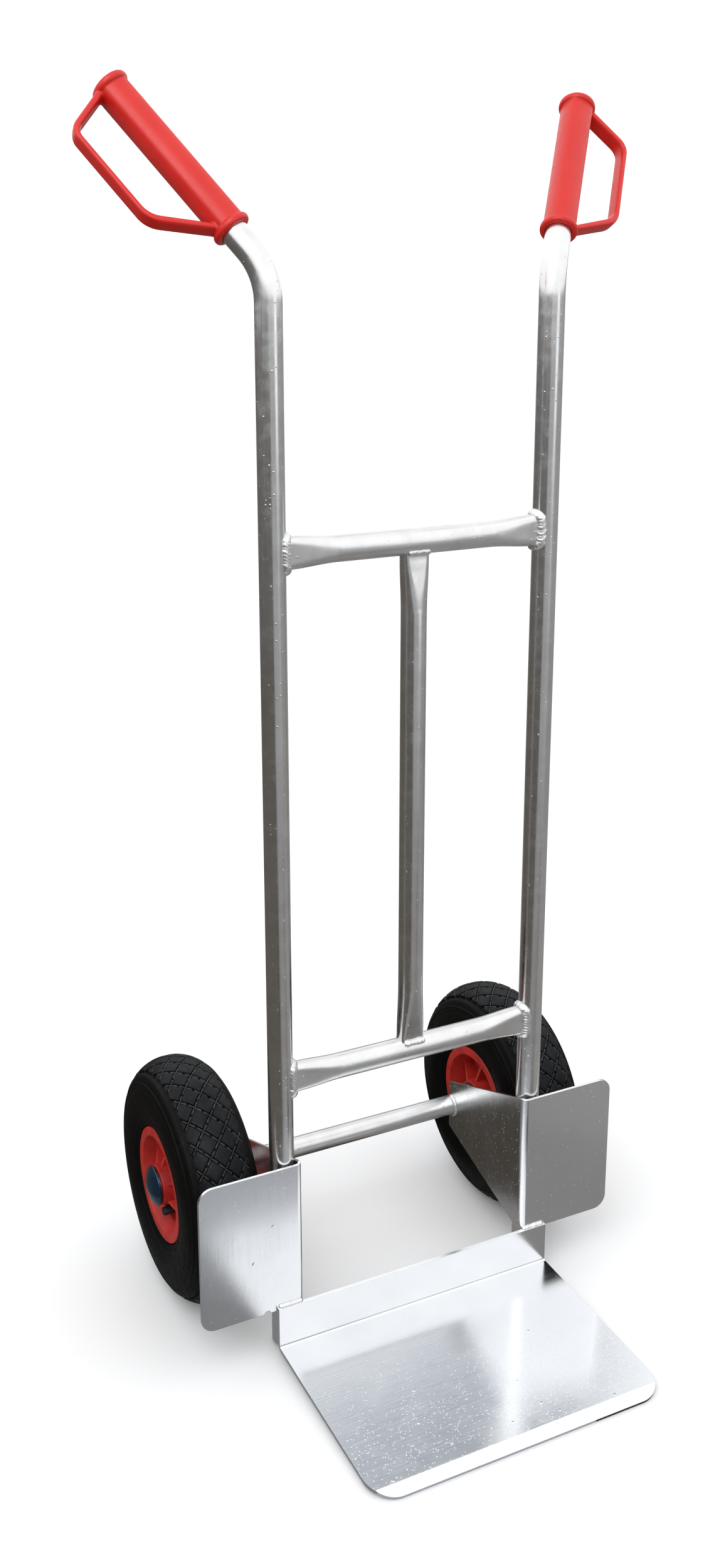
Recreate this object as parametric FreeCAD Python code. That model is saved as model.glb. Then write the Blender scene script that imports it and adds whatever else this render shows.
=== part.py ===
import FreeCAD, Part
import math
import os

# Two-wheeled aluminium hand truck.
# Frame: millimetres, +Z up, the toe plate points along -Y, +X is the truck's right-hand side as
# seen from the front.  The origin is on the floor, at the middle of the truck's width and depth.

V = FreeCAD.Vector
X_AXIS = V(1, 0, 0)
Y_AXIS = V(0, 1, 0)
Z_AXIS = V(0, 0, 1)
SIDES = {"left": -1, "right": 1}

# ---- driving dimensions ----------------------------------------------------------------
TUBE_OD = 25.0
TUBE_WALL = 2.0
GAP = 0.05                    # air between round pieces of one body that touch

AXLE_BEHIND_UPRIGHTS = 132.0
LIP_AHEAD_OF_UPRIGHTS = 231.0
WHEEL_RADIUS = 130.0

UPRIGHT_X = 146.8
UPRIGHT_FOOT_Z = 5.0
UPRIGHT_Y = (LIP_AHEAD_OF_UPRIGHTS - AXLE_BEHIND_UPRIGHTS - WHEEL_RADIUS) / 2
AXLE_Y = UPRIGHT_Y + AXLE_BEHIND_UPRIGHTS
AXLE_Z = WHEEL_RADIUS

# handle bend: the tube leans back and outward
BEND_START_Z = 1050.7
BEND_RADIUS = 65.5
BEND_ANGLE = 43.1
SPLAY_ANGLE = 42.2            # direction of the lean, from straight back towards outward
HANDLE_LENGTH = 192.0         # straight tube beyond the bend

# crossbars and centre strut, with pressed ends
UPPER_BAR_Z = 830.0
LOWER_BAR_Z = 303.0
BAR_END_HALF_TALL = 15.5
BAR_END_HALF_THICK = 9.5
BAR_TAPER = 58.0
STRUT_END_HALF_WIDE = 14.0
STRUT_END_HALF_DEEP = 10.0
STRUT_TAPER = 38.0
BAR_WELD_SIZE = 4.8           # how far a bead stands out round a bar's or the strut's end
BAR_WELD_DEPTH = 3.0

# load deflector plates: a front panel beside each upright and a wing running back to the axle
PLATE_THICK = 3.0
PLATE_FRONT_Y = UPRIGHT_Y - 17.2
PLATE_WING_X = 131.0          # face of the wing nearer the middle of the truck
PLATE_OUTER_X = 244.0
PLATE_BOTTOM_Z = 54.5
PLATE_TOP_Z = 214.9
PLATE_BEND_RADIUS = 4.0
PLATE_CORNER_RADIUS = 15.0
WING_REAR_Y = AXLE_Y + 3.0
WING_REAR_TOP_Z = 159.0
WING_REAR_BOTTOM_Z = 102.0
NOTCH_X = -172.7
NOTCH_RADIUS = 3.4
STITCH_RADIUS = 3.0           # stitch welds between an upright and the back of its panel
STITCH_LENGTH = 40.0
STITCH_HALF_SPREAD = 6.5
STITCH_BACK = 1.2
STITCH_END_GAP = 8.0

# toe plate
TOE_THICK = 4.0
TOE_HALF_WIDTH = 161.5
TOE_FLANGE_TOP_Z = 58.0
TOE_BEND_TOP_Z = 13.2         # top face, extended to the flange's front face
TOE_LIP_TOP_Z = 8.1
TOE_LIP_DEPTH = 12.5
TOE_LIP_EDGE_TOP_Z = 3.8
TOE_BEND_RADIUS = 3.0
TOE_CORNER_RADIUS = 28.0
FLANGE_WELD_RADIUS = 3.4
FOOT_WELD_RADIUS = 4.0        # upright beads between the uprights' feet and the flange
FOOT_WELD_LENGTH = 36.0
FOOT_WELD_RISE = 12.0
FOOT_WELD_INSET = 7.5

# axle
AXLE_RADIUS = 8.0
AXLE_TUBE_RADIUS = 11.0
AXLE_TUBE_HALF = 156.0
AXLE_HALF = 239.5
AXLE_WELD_RADIUS = 2.6
AXLE_WELD_LIFT = 0.6
AXLE_WELD_OFFSET = 0.4
INNER_WASHER = (156.2, 159.1, 20.0)     # inner face, outer face, radius
OUTER_WASHER = (234.8, 236.8, 15.0)
CAP_RIM_X = 237.1
CAP_RADIUS = 21.5
CAP_HEIGHT = 8.5
CAP_SHEET = 0.8
CAP_SKIRT = 1.4

# wheels
WHEEL_X = 197.0
HUB_HALF = 37.5
HUB_RADIUS = 21.0
BUSH_RADIUS = 12.0
BUSH_LENGTH = 22.0
BUSH_BORE = 8.06

# half sections as (distance out from the wheel's middle plane, radius), from the crown inwards
TYRE_CROWN_BEND = (20.0, 126.0)
TYRE_SHOULDER = (35.5, 114.0)
TYRE_SIDE = (41.5, 88.0)
TYRE_BEAD = [(35.8, 62.6), (33.6, 62.2), (32.4, 61.0), (31.0, 50.6), (24.0, 50.6), (25.5, 60.0)]
TYRE_INNER_SIDE = (35.5, 86.0)
TYRE_INNER_SHOULDER = (29.0, 109.0)
TYRE_CROWN_THICK = 9.5
TUBE_CROWN_RADIUS = 119.8
TUBE_SHOULDER = (28.4, 108.4)
TUBE_SIDE = (34.8, 86.0)
TUBE_FOOT = [(24.8, 61.0), (22.0, 51.2)]
TUBE_INNER_SHOULDER = (27.2, 107.0)
TUBE_INNER_SIDE = (33.0, 86.0)
TUBE_INNER_FOOT = [(23.0, 61.2), (20.6, 53.0)]
INNER_TUBE_WALL = 1.8
RIM_BARREL_RADIUS = 50.0
RIM_BARREL_WALL = 4.0
RIM_FLANGE_RADIUS = 61.6
RIM_FLANGE_FACE = 36.0
RIM_FLANGE_BEVEL = 2.0
RIM_JOINT_GAP = 0.02          # half of the gap between the two halves of a rim
WEB_OUTER = 11.5              # faces of the web between hub and barrel
WEB_INNER = 7.5
DISH_OUT = 28.0               # where the barrel's face turns out to the flange
RIM_SEAT_OUT = 31.4
RIM_RIBS = 6
RIB_THICK = 4.5
RIB_ROOT = 9.0
RIB_AT_HUB = 31.0
RIB_AT_BARREL = 20.0
VALVE_ANGLE = 18.0            # from straight down towards the front
VALVE_RADIUS = 4.0
VALVE_OFFSET = 29.0           # from the axle to the outward-pointing end of the valve
VALVE_DEPTH = 14.0            # from the wheel's middle plane to the stem where it leaves the rim
VALVE_BEND_RADIUS = 6.0
VALVE_TIP_LENGTH = 5.0
VALVE_CAP_RADIUS = 4.8
VALVE_CAP_LENGTH = 11.0
VALVE_ROOM_RADIUS = 6.5

# grips
GRIP_START = 69.0             # along the tube from the start of the bend
GRIP_LENGTH = 173.5
GRIP_HALF_FLAT = 14.4
GRIP_HALF_CORNER = 16.0
COLLAR_RADIUS = 18.2
COLLAR_LENGTH = 7.5
COLLAR_ROUNDING = 3.2
SLEEVE_ROUNDING = 2.5
GUARD_TURN = 40.0             # guard's direction, from level outward towards the underside
GUARD_OFFSET = 58.5
GUARD_THICK = 5.5
GUARD_WIDTH = 15.0
GUARD_ROOT = 14.0             # the strap's ends, inside the collars
GUARD_LOW_END = 10.0
GUARD_LOW_CORNER = 48.0
GUARD_HIGH_CORNER = GRIP_LENGTH - 25.5
GUARD_HIGH_END = GRIP_LENGTH - 5.0


# ---- small tools ----------------------------------------------------------------------
def cylinder(radius, start, end):
    along = end - start
    return Part.makeCylinder(radius, along.Length, start, along)


def outline(start, *steps):
    """Closed wire: a step is a point for a straight run, or (middle, end) for an arc."""
    edges = []
    here = start
    for step in steps:
        if isinstance(step, tuple):
            edges.append(Part.Arc(here, step[0], step[1]).toShape())
            here = step[1]
        else:
            edges.append(Part.LineSegment(here, step).toShape())
            here = step
    if here.distanceToPoint(start) > 1e-6:
        edges.append(Part.LineSegment(here, start).toShape())
    return Part.Wire(edges)


def prism(points, depth):
    return Part.Face(outline(*points)).extrude(depth)


def one_solid(shape):
    """The shape with its seams merged, as one solid or a compound of separate ones."""
    shape = shape.removeSplitter()
    return shape.Solids[0] if len(shape.Solids) == 1 else Part.makeCompound(shape.Solids)


def vertical_corner_edges(solid, corner, direction):
    """Edges of a solid that run along direction through the given corner."""
    found = []
    for edge in solid.Edges:
        ends = [v.Point for v in edge.Vertexes]
        if len(ends) != 2:
            continue
        run = ends[1] - ends[0]
        if run.Length < 1e-6 or run.cross(direction).Length > 1e-6 * run.Length:
            continue
        offset = ends[0] - corner
        if offset.cross(direction).Length < 1e-4:
            found.append(edge)
    return found


def round_edges(solid, corners, direction):
    """Round the edges through each (corner, radius)."""
    for corner, radius in corners:
        solid = solid.makeFillet(radius, vertical_corner_edges(solid, corner, direction))
    return solid


def bent_sheet(face_points, thick, inner_radius, depth):
    """Sheet metal bent along straight lines: face_points is one face's outline, and the sheet
    lies on its left.  Every bend gets the inner radius on its hollow side."""
    normal = V(depth).normalize()
    count = len(face_points)
    runs = [(face_points[i + 1] - face_points[i]).normalize() for i in range(count - 1)]
    lefts = [normal.cross(run) for run in runs]
    other = [face_points[0] + lefts[0] * thick]
    for i in range(1, count - 1):
        mitre = (lefts[i - 1] + lefts[i]).normalize()
        other.append(face_points[i] + mitre * (thick / mitre.dot(lefts[i])))
    other.append(face_points[-1] + lefts[-1] * thick)
    solid = prism(face_points + other[::-1], depth)
    corners = []
    for i in range(1, count - 1):
        turns_left = runs[i - 1].cross(runs[i]).dot(normal) > 0
        face_radius = inner_radius + (thick if turns_left else 0)
        other_radius = inner_radius + (0 if turns_left else thick)
        corners.append((face_points[i], face_radius))
        corners.append((other[i], other_radius))
    return round_edges(solid, corners, normal)


def save(name, shape):
    shape = one_solid(shape)
    assert shape.isValid(), name
    shape.exportStep("parts/%s.step" % name)
    print("%-26s solids %2d  volume %9.0f" % (name, len(shape.Solids), shape.Volume))


# ---- uprights and their handle ends ------------------------------------------------------
def handle_frame(side):
    """Bend axis data: the lean's level direction, the handle's direction, and where it starts."""
    splay = math.radians(SPLAY_ANGLE)
    bend = math.radians(BEND_ANGLE)
    lean = V(side * math.sin(splay), math.cos(splay), 0)
    along = lean * math.sin(bend) + Z_AXIS * math.cos(bend)
    centre = V(side * UPRIGHT_X, UPRIGHT_Y, BEND_START_Z) + lean * BEND_RADIUS
    start = centre - lean * (BEND_RADIUS * math.cos(bend)) + Z_AXIS * (BEND_RADIUS * math.sin(bend))
    return lean, along, centre, start


def upright_solid(side, radius):
    """A solid rod of the given radius along the upright's line."""
    lean, along, centre, start = handle_frame(side)
    foot = V(side * UPRIGHT_X, UPRIGHT_Y, UPRIGHT_FOOT_Z)
    knee = V(side * UPRIGHT_X, UPRIGHT_Y, BEND_START_Z)
    disc = Part.Face(Part.Wire(Part.Circle(knee, Z_AXIS, radius).toShape()))
    bend = disc.revolve(centre, Z_AXIS.cross(lean), BEND_ANGLE)
    rod = cylinder(radius, foot, knee).fuse(bend)
    return rod.fuse(cylinder(radius, start, start + along * HANDLE_LENGTH)).removeSplitter()


def upright_tube(side):
    return upright_solid(side, TUBE_OD / 2).cut(upright_solid(side, TUBE_OD / 2 - TUBE_WALL))


# ---- crossbars and strut ------------------------------------------------------------------
def oval(half_wide, half_thin, height):
    """Elliptical wire in a plane of constant height, wide along X."""
    ring = Part.Ellipse(V(0, 0, height), half_wide, half_thin)
    return Part.Wire(ring.toShape())


def pressed_rod(length, half_wide, half_thin, taper, inset):
    """A round rod along Z whose two ends are pressed to an oval, reduced by inset all round."""
    radius = TUBE_OD / 2 - inset
    steps = 6
    top = []
    for i in range(steps + 1):
        t = i / steps
        blend = t * t * (3 - 2 * t)
        wide = radius + (half_wide - inset - radius) * blend
        thin = radius + (half_thin - inset - radius) * blend
        top.append(oval(wide, thin, length / 2 - taper + taper * t))
    end = Part.makeLoft(top, True, False)
    middle = Part.makeCylinder(radius, length - 2 * taper, V(0, 0, -length / 2 + taper))
    return middle.fuse([end, end.mirror(V(0, 0, 0), Z_AXIS)]).removeSplitter()


def turn_to_crossbar(shape, height):
    """Lay a shape built along Z across the truck, its wide side upright."""
    turned = shape.copy()
    turned.rotate(V(0, 0, 0), Y_AXIS, 90)
    turned.translate(V(0, UPRIGHT_Y, height))
    return turned


def uprights_cut(shape, radius=TUBE_OD / 2 + GAP):
    for side in SIDES.values():
        foot = V(side * UPRIGHT_X, UPRIGHT_Y, 0)
        shape = shape.cut(cylinder(radius, foot, foot + Z_AXIS * BEND_START_Z))
    return shape


def crossbar_rod(height, inset):
    length = 2 * UPRIGHT_X
    rod = pressed_rod(length, BAR_END_HALF_TALL, BAR_END_HALF_THICK, BAR_TAPER, inset)
    return turn_to_crossbar(rod, height)


def crossbar(height):
    return uprights_cut(crossbar_rod(height, 0).cut(crossbar_rod(height, TUBE_WALL)))


def crossbar_welds(height):
    """A bead round each end of a crossbar, where it meets the upright."""
    ring = oval(BAR_END_HALF_TALL + BAR_WELD_SIZE, BAR_END_HALF_THICK + BAR_WELD_SIZE, 0)
    bead = Part.Face(ring).extrude(Z_AXIS * (TUBE_OD / 2 + BAR_WELD_DEPTH))
    beads = []
    for side in SIDES.values():
        one = bead.copy()
        one.rotate(V(0, 0, 0), Y_AXIS, -90 * side)
        one.translate(V(side * UPRIGHT_X, UPRIGHT_Y, height))
        beads.append(one)
    return uprights_cut(Part.makeCompound(beads)).cut(crossbar_rod(height, -GAP))


def strut_rod(inset):
    rod = pressed_rod(UPPER_BAR_Z - LOWER_BAR_Z, STRUT_END_HALF_WIDE, STRUT_END_HALF_DEEP,
                      STRUT_TAPER + TUBE_OD / 2, inset)
    rod.translate(V(0, UPRIGHT_Y, (UPPER_BAR_Z + LOWER_BAR_Z) / 2))
    return rod


def bars_cut(shape):
    for height in (UPPER_BAR_Z, LOWER_BAR_Z):
        end = V(UPRIGHT_X, UPRIGHT_Y, height)
        shape = shape.cut(cylinder(TUBE_OD / 2 + GAP, V(-end.x, end.y, end.z), end))
    return shape


def centre_strut():
    return bars_cut(strut_rod(0).cut(strut_rod(TUBE_WALL)))


def strut_welds():
    beads = []
    for height, way in ((UPPER_BAR_Z, -1), (LOWER_BAR_Z, 1)):
        ring = oval(STRUT_END_HALF_WIDE + BAR_WELD_SIZE, STRUT_END_HALF_DEEP + BAR_WELD_SIZE * 0.7, 0)
        bead = Part.Face(ring).extrude(Z_AXIS * (way * (TUBE_OD / 2 + BAR_WELD_SIZE)))
        bead.translate(V(0, UPRIGHT_Y, height))
        beads.append(bead)
    return bars_cut(Part.makeCompound(beads)).cut(strut_rod(-GAP))


# ---- deflector plates -----------------------------------------------------------------------
def deflector_plate(side):
    """Front panel and wing bent from one sheet; the wing's rear edge is notched for the axle."""
    height = PLATE_TOP_Z - PLATE_BOTTOM_Z
    wing = V(side * PLATE_WING_X, WING_REAR_Y, PLATE_BOTTOM_Z)
    corner = V(side * PLATE_WING_X, PLATE_FRONT_Y, PLATE_BOTTOM_Z)
    edge = V(side * PLATE_OUTER_X, PLATE_FRONT_Y, PLATE_BOTTOM_Z)
    points = [wing, corner, edge] if side > 0 else [edge, corner, wing]
    plate = bent_sheet(points, PLATE_THICK, PLATE_BEND_RADIUS, Z_AXIS * height)

    # the wing tapers towards the axle
    bend_y = PLATE_FRONT_Y + PLATE_THICK + PLATE_BEND_RADIUS
    for edge_z, rear_z, far_z in ((PLATE_TOP_Z, WING_REAR_TOP_Z, PLATE_TOP_Z + 10),
                                  (PLATE_BOTTOM_Z, WING_REAR_BOTTOM_Z, PLATE_BOTTOM_Z - 10)):
        past = 1.2
        rear_y = bend_y + (WING_REAR_Y - bend_y) * past
        slope_z = edge_z + (rear_z - edge_z) * past
        waste = [V(side * (PLATE_WING_X - 5), bend_y, edge_z), V(side * (PLATE_WING_X - 5), rear_y, slope_z),
                 V(side * (PLATE_WING_X - 5), rear_y, far_z), V(side * (PLATE_WING_X - 5), bend_y, far_z)]
        plate = plate.cut(prism(waste, X_AXIS * (side * (PLATE_THICK + 10))))
    axle_end = V(side * AXLE_TUBE_HALF, AXLE_Y, AXLE_Z)
    plate = plate.cut(cylinder(AXLE_TUBE_RADIUS + GAP, V(0, AXLE_Y, AXLE_Z), axle_end))

    # rounded outer corners
    for z in (PLATE_BOTTOM_Z, PLATE_TOP_Z):
        corner = V(side * PLATE_OUTER_X, PLATE_FRONT_Y, z)
        plate = plate.makeFillet(PLATE_CORNER_RADIUS, vertical_corner_edges(plate, corner, Y_AXIS))
    if side * NOTCH_X > 0:
        notch = V(NOTCH_X, PLATE_FRONT_Y - 1, PLATE_BOTTOM_Z)
        plate = plate.cut(cylinder(NOTCH_RADIUS, notch, notch + Y_AXIS * (PLATE_THICK + 2)))
    return plate


def deflector_welds():
    """Stitch beads between each upright and the back of its front panel, and its wing."""
    beads = []
    bead_y = PLATE_FRONT_Y + PLATE_THICK + STITCH_BACK
    for side in SIDES.values():
        for x in (UPRIGHT_X + STITCH_HALF_SPREAD, UPRIGHT_X - STITCH_HALF_SPREAD):
            for low in (PLATE_BOTTOM_Z + STITCH_END_GAP, PLATE_TOP_Z - STITCH_END_GAP - STITCH_LENGTH):
                start = V(side * x, bead_y, low)
                beads.append(cylinder(STITCH_RADIUS, start, start + Z_AXIS * STITCH_LENGTH))
    welds = uprights_cut(Part.makeCompound(beads))
    for side in SIDES.values():
        welds = welds.cut(deflector_plate(side))
        panel = Part.makeBox(60, 20, 200, V(UPRIGHT_X * side - 30, PLATE_FRONT_Y - 20, 30))
        welds = welds.cut(panel)
    keep = [solid for solid in welds.Solids if solid.Volume > 50]
    return Part.makeCompound(keep)


# ---- toe plate --------------------------------------------------------------------------------
def toe_profile():
    """Front and top face of the bent toe plate, from the flange's top edge to the lip."""
    face_y = PLATE_FRONT_Y - TOE_THICK
    lip_y = UPRIGHT_Y - LIP_AHEAD_OF_UPRIGHTS
    return [V(-TOE_HALF_WIDTH, face_y, TOE_FLANGE_TOP_Z),
            V(-TOE_HALF_WIDTH, face_y, TOE_BEND_TOP_Z),
            V(-TOE_HALF_WIDTH, lip_y + TOE_LIP_DEPTH, TOE_LIP_TOP_Z),
            V(-TOE_HALF_WIDTH, lip_y, TOE_LIP_EDGE_TOP_Z)]


def toe_plate():
    points = toe_profile()
    plate = bent_sheet(points, TOE_THICK, TOE_BEND_RADIUS, X_AXIS * (2 * TOE_HALF_WIDTH))
    # rounded front corners, cut square through the sheet
    front_y = UPRIGHT_Y - LIP_AHEAD_OF_UPRIGHTS
    radius = TOE_CORNER_RADIUS
    for side in SIDES.values():
        corner = V(side * TOE_HALF_WIDTH, front_y, -5)
        centre = corner + V(-side * radius, radius, 0)
        middle = centre + V(side, -1, 0).normalize() * radius
        inner = V(side * 5, -5, 0)
        waste = [corner + inner, V(centre.x, front_y - 5, -5), V(centre.x, front_y, -5),
                 (V(middle.x, middle.y, -5), V(corner.x, centre.y, -5)),
                 V(corner.x + side * 5, centre.y, -5)]
        plate = plate.cut(prism(waste, Z_AXIS * 40))
    return plate


def toe_plate_welds():
    """Beads along the flange's top edge on each deflector, and down behind it on each upright."""
    beads = []
    for side in SIDES.values():
        start = V(side * (PLATE_WING_X + 1.5), PLATE_FRONT_Y, TOE_FLANGE_TOP_Z)
        beads.append(cylinder(FLANGE_WELD_RADIUS, start, V(side * (TOE_HALF_WIDTH - 1.0), start.y, start.z)))
        behind = V(side * (UPRIGHT_X - FOOT_WELD_INSET), PLATE_FRONT_Y + 2.0, UPRIGHT_FOOT_Z + FOOT_WELD_RISE)
        beads.append(cylinder(FOOT_WELD_RADIUS, behind, behind + Z_AXIS * FOOT_WELD_LENGTH))
    front = Part.makeBox(4 * TOE_HALF_WIDTH, 60, 200, V(-2 * TOE_HALF_WIDTH, PLATE_FRONT_Y, PLATE_BOTTOM_Z))
    flange = Part.makeBox(4 * TOE_HALF_WIDTH, TOE_THICK + 10, TOE_FLANGE_TOP_Z,
                          V(-2 * TOE_HALF_WIDTH, PLATE_FRONT_Y - TOE_THICK - 10, 0))
    welds = uprights_cut(Part.makeCompound(beads)).cut(front).cut(flange)
    return Part.makeCompound([solid for solid in welds.Solids if solid.Volume > 20])


# ---- axle ---------------------------------------------------------------------------------------
def axle_tube():
    half = V(AXLE_TUBE_HALF, AXLE_Y, AXLE_Z)
    other = V(-half.x, half.y, half.z)
    return cylinder(AXLE_TUBE_RADIUS, other, half).cut(cylinder(AXLE_RADIUS + GAP, other, half))


def axle_rod():
    half = V(AXLE_HALF, AXLE_Y, AXLE_Z)
    return cylinder(AXLE_RADIUS, V(-half.x, half.y, half.z), half)


def axle_tube_welds():
    """Half-ring beads where each wing wraps the front half of the axle tube."""
    beads = []
    for side in SIDES.values():
        for x in (PLATE_WING_X - AXLE_WELD_OFFSET, PLATE_WING_X + PLATE_THICK + AXLE_WELD_OFFSET):
            middle = V(side * x, AXLE_Y, AXLE_Z)
            start = middle + Z_AXIS * (AXLE_TUBE_RADIUS + AXLE_WELD_LIFT)
            disc = Part.Face(Part.Wire(Part.Circle(start, Y_AXIS, AXLE_WELD_RADIUS).toShape()))
            beads.append(disc.revolve(middle, X_AXIS, 180))
    welds = Part.makeCompound(beads)
    span = V(AXLE_TUBE_HALF, AXLE_Y, AXLE_Z)
    welds = welds.cut(cylinder(AXLE_TUBE_RADIUS + GAP, V(-span.x, span.y, span.z), span))
    for side in SIDES.values():
        welds = welds.cut(deflector_plate(side))
    return Part.makeCompound([solid for solid in welds.Solids if solid.Volume > 20])


def washers(size):
    """A pair of flat washers on the axle, one each side."""
    near, far, radius = size
    rings = []
    for side in SIDES.values():
        start = V(side * near, AXLE_Y, AXLE_Z)
        end = V(side * far, AXLE_Y, AXLE_Z)
        rings.append(cylinder(radius, start, end).cut(cylinder(AXLE_RADIUS + GAP, start, end)))
    return Part.makeCompound(rings)


def turned(side, start, *steps):
    """Turn an outline of (distance outward from the wheel's middle plane, radius) about the axle."""
    def place(point):
        return V(side * (WHEEL_X + point[0]), AXLE_Y, AXLE_Z + point[1])

    moved = []
    for step in steps:
        if isinstance(step[0], tuple):
            moved.append((place(step[0]), place(step[1])))
        else:
            moved.append(place(step))
    face = Part.Face(outline(place(start), *moved))
    return face.revolve(V(0, AXLE_Y, AXLE_Z), X_AXIS, 360)


def dome(side, base_x, radius, skirt, height):
    """Solid button: a short cylinder from base_x, closed by part of a ball, height tall in all."""
    rise = height - skirt
    ball_radius = (rise * rise + radius * radius) / (2 * rise)
    start = V(side * base_x, AXLE_Y, AXLE_Z)
    ball = Part.makeSphere(ball_radius, start + X_AXIS * (side * (height - ball_radius)), X_AXIS)
    return cylinder(radius, start, start + X_AXIS * (side * (height + 1))).common(ball)


def hub_cap(side):
    """Push-on domed cap: a thin dome on a flat ring that grips the axle's end."""
    outer = dome(side, CAP_RIM_X, CAP_RADIUS, CAP_SKIRT, CAP_HEIGHT)
    inner = dome(side, CAP_RIM_X + CAP_SHEET, CAP_RADIUS - CAP_SHEET, CAP_SHEET, CAP_HEIGHT - 2 * CAP_SHEET)
    axle_end = V(side * AXLE_HALF, AXLE_Y, AXLE_Z)
    hole = cylinder(AXLE_RADIUS + GAP, V(0, AXLE_Y, AXLE_Z), axle_end)
    return outer.cut(inner).cut(hole)


# ---- wheels ---------------------------------------------------------------------------------------
def mirrored(point):
    return (-point[0], point[1])


def tyre(side):
    """Hollow tyre casing: beads on the rim, round sidewalls and a round crown."""
    crown = (0.0, WHEEL_RADIUS)
    inner_crown = (0.0, WHEEL_RADIUS - TYRE_CROWN_THICK)
    return turned(side, crown, (TYRE_CROWN_BEND, TYRE_SHOULDER), (TYRE_SIDE, TYRE_BEAD[0]), *TYRE_BEAD[1:],
                  (TYRE_INNER_SIDE, TYRE_INNER_SHOULDER), (inner_crown, mirrored(TYRE_INNER_SHOULDER)),
                  (mirrored(TYRE_INNER_SIDE), mirrored(TYRE_BEAD[-1])),
                  *[mirrored(point) for point in reversed(TYRE_BEAD[:-1])],
                  (mirrored(TYRE_SIDE), mirrored(TYRE_SHOULDER)), (mirrored(TYRE_CROWN_BEND), crown))


def ring_section(side, crown, shoulder, flank, foot):
    """A closed ring round the axle, symmetrical about the wheel's middle plane."""
    return turned(side, mirrored(foot[1]), mirrored(foot[0]), (mirrored(flank), mirrored(shoulder)),
                  (crown, shoulder), (flank, foot[0]), foot[1])


def inner_tube(side):
    """Inflated butyl tube lying against the inside of the casing."""
    outer = ring_section(side, (0.0, TUBE_CROWN_RADIUS), TUBE_SHOULDER, TUBE_SIDE, TUBE_FOOT)
    inner = ring_section(side, (0.0, TUBE_CROWN_RADIUS - INNER_TUBE_WALL), TUBE_INNER_SHOULDER,
                         TUBE_INNER_SIDE, TUBE_INNER_FOOT)
    return outer.cut(inner)


def around_axle(shape, angle):
    turned_shape = shape.copy()
    turned_shape.rotate(V(0, AXLE_Y, AXLE_Z), X_AXIS, angle)
    return turned_shape


def rim_half(side, facing):
    """Half of the moulded rim: flange, barrel, recessed web with ribs, and half of the hub.
    facing is 1 for the half that faces away from the truck and -1 for the other."""
    barrel_in = RIM_BARREL_RADIUS - RIM_BARREL_WALL
    joint = RIM_JOINT_GAP
    hole = BUSH_RADIUS + GAP

    def flip(point):
        return (facing * point[0], point[1])

    half = turned(side, flip((joint, hole)), flip((HUB_HALF, hole)), flip((HUB_HALF, HUB_RADIUS)),
                  flip((WEB_OUTER, HUB_RADIUS + 2.0)), flip((WEB_OUTER, barrel_in - 2.0)),
                  flip((DISH_OUT, barrel_in + 3.0)), flip((RIM_FLANGE_FACE, barrel_in + 5.5)),
                  flip((RIM_FLANGE_FACE, RIM_FLANGE_RADIUS - RIM_FLANGE_BEVEL)),
                  flip((RIM_FLANGE_FACE - RIM_FLANGE_BEVEL, RIM_FLANGE_RADIUS)),
                  flip((RIM_FLANGE_FACE - RIM_FLANGE_BEVEL - 1.0, RIM_FLANGE_RADIUS - 1.0)),
                  flip((RIM_SEAT_OUT, RIM_BARREL_RADIUS + 0.3)), flip((joint, RIM_BARREL_RADIUS + 0.3)),
                  flip((joint, barrel_in)), flip((WEB_INNER, barrel_in)), flip((WEB_INNER, HUB_RADIUS)),
                  flip((joint, HUB_RADIUS)))

    # triangular ribs stand on the web, high at the hub and low at the barrel
    def rib_point(out, radius):
        return V(side * (WHEEL_X + facing * out), AXLE_Y - RIB_THICK / 2, AXLE_Z + radius)

    rib = prism([rib_point(RIB_ROOT, HUB_RADIUS - 2), rib_point(RIB_AT_HUB, HUB_RADIUS - 2),
                 rib_point(RIB_AT_BARREL, barrel_in + 1), rib_point(RIB_ROOT, barrel_in + 1)],
                Y_AXIS * RIB_THICK)
    for i in range(RIM_RIBS):
        half = half.fuse(around_axle(rib, i * 360 / RIM_RIBS))
    if facing > 0:
        half = half.cut(valve_clearance(side))
    return half


def valve_direction():
    angle = math.radians(VALVE_ANGLE)
    return V(0, -math.sin(angle), -math.cos(angle))


def valve_rod(side, radius, reach, outward):
    """The valve's line: in through the barrel, then bent to point away from the truck."""
    radial = valve_direction()
    out = V(side, 0, 0)
    bend = VALVE_BEND_RADIUS
    base = V(side * (WHEEL_X + VALVE_DEPTH), AXLE_Y, AXLE_Z)
    knee = base + radial * (VALVE_OFFSET + bend)
    disc = Part.Face(Part.Wire(Part.Circle(knee, radial, radius).toShape()))
    elbow = disc.revolve(knee + out * bend, out.cross(radial), 90)
    tip_start = base + radial * VALVE_OFFSET + out * bend
    rod = cylinder(radius, base + radial * reach, knee).fuse(elbow)
    return rod.fuse(cylinder(radius, tip_start, tip_start + out * outward))


def valve_clearance(side):
    radial = valve_direction()
    base = V(side * (WHEEL_X + VALVE_DEPTH), AXLE_Y, AXLE_Z)
    hole = cylinder(VALVE_RADIUS + GAP, base + radial * (VALVE_OFFSET + 4), base + radial * 60)
    room = cylinder(VALVE_ROOM_RADIUS, base + radial * VALVE_OFFSET - V(side * 5, 0, 0),
                    base + radial * VALVE_OFFSET + V(side * 40, 0, 0))
    return hole.fuse(room)


def valve_stem(side):
    return valve_rod(side, VALVE_RADIUS, RIM_BARREL_RADIUS + 1.0, VALVE_TIP_LENGTH)


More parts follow.
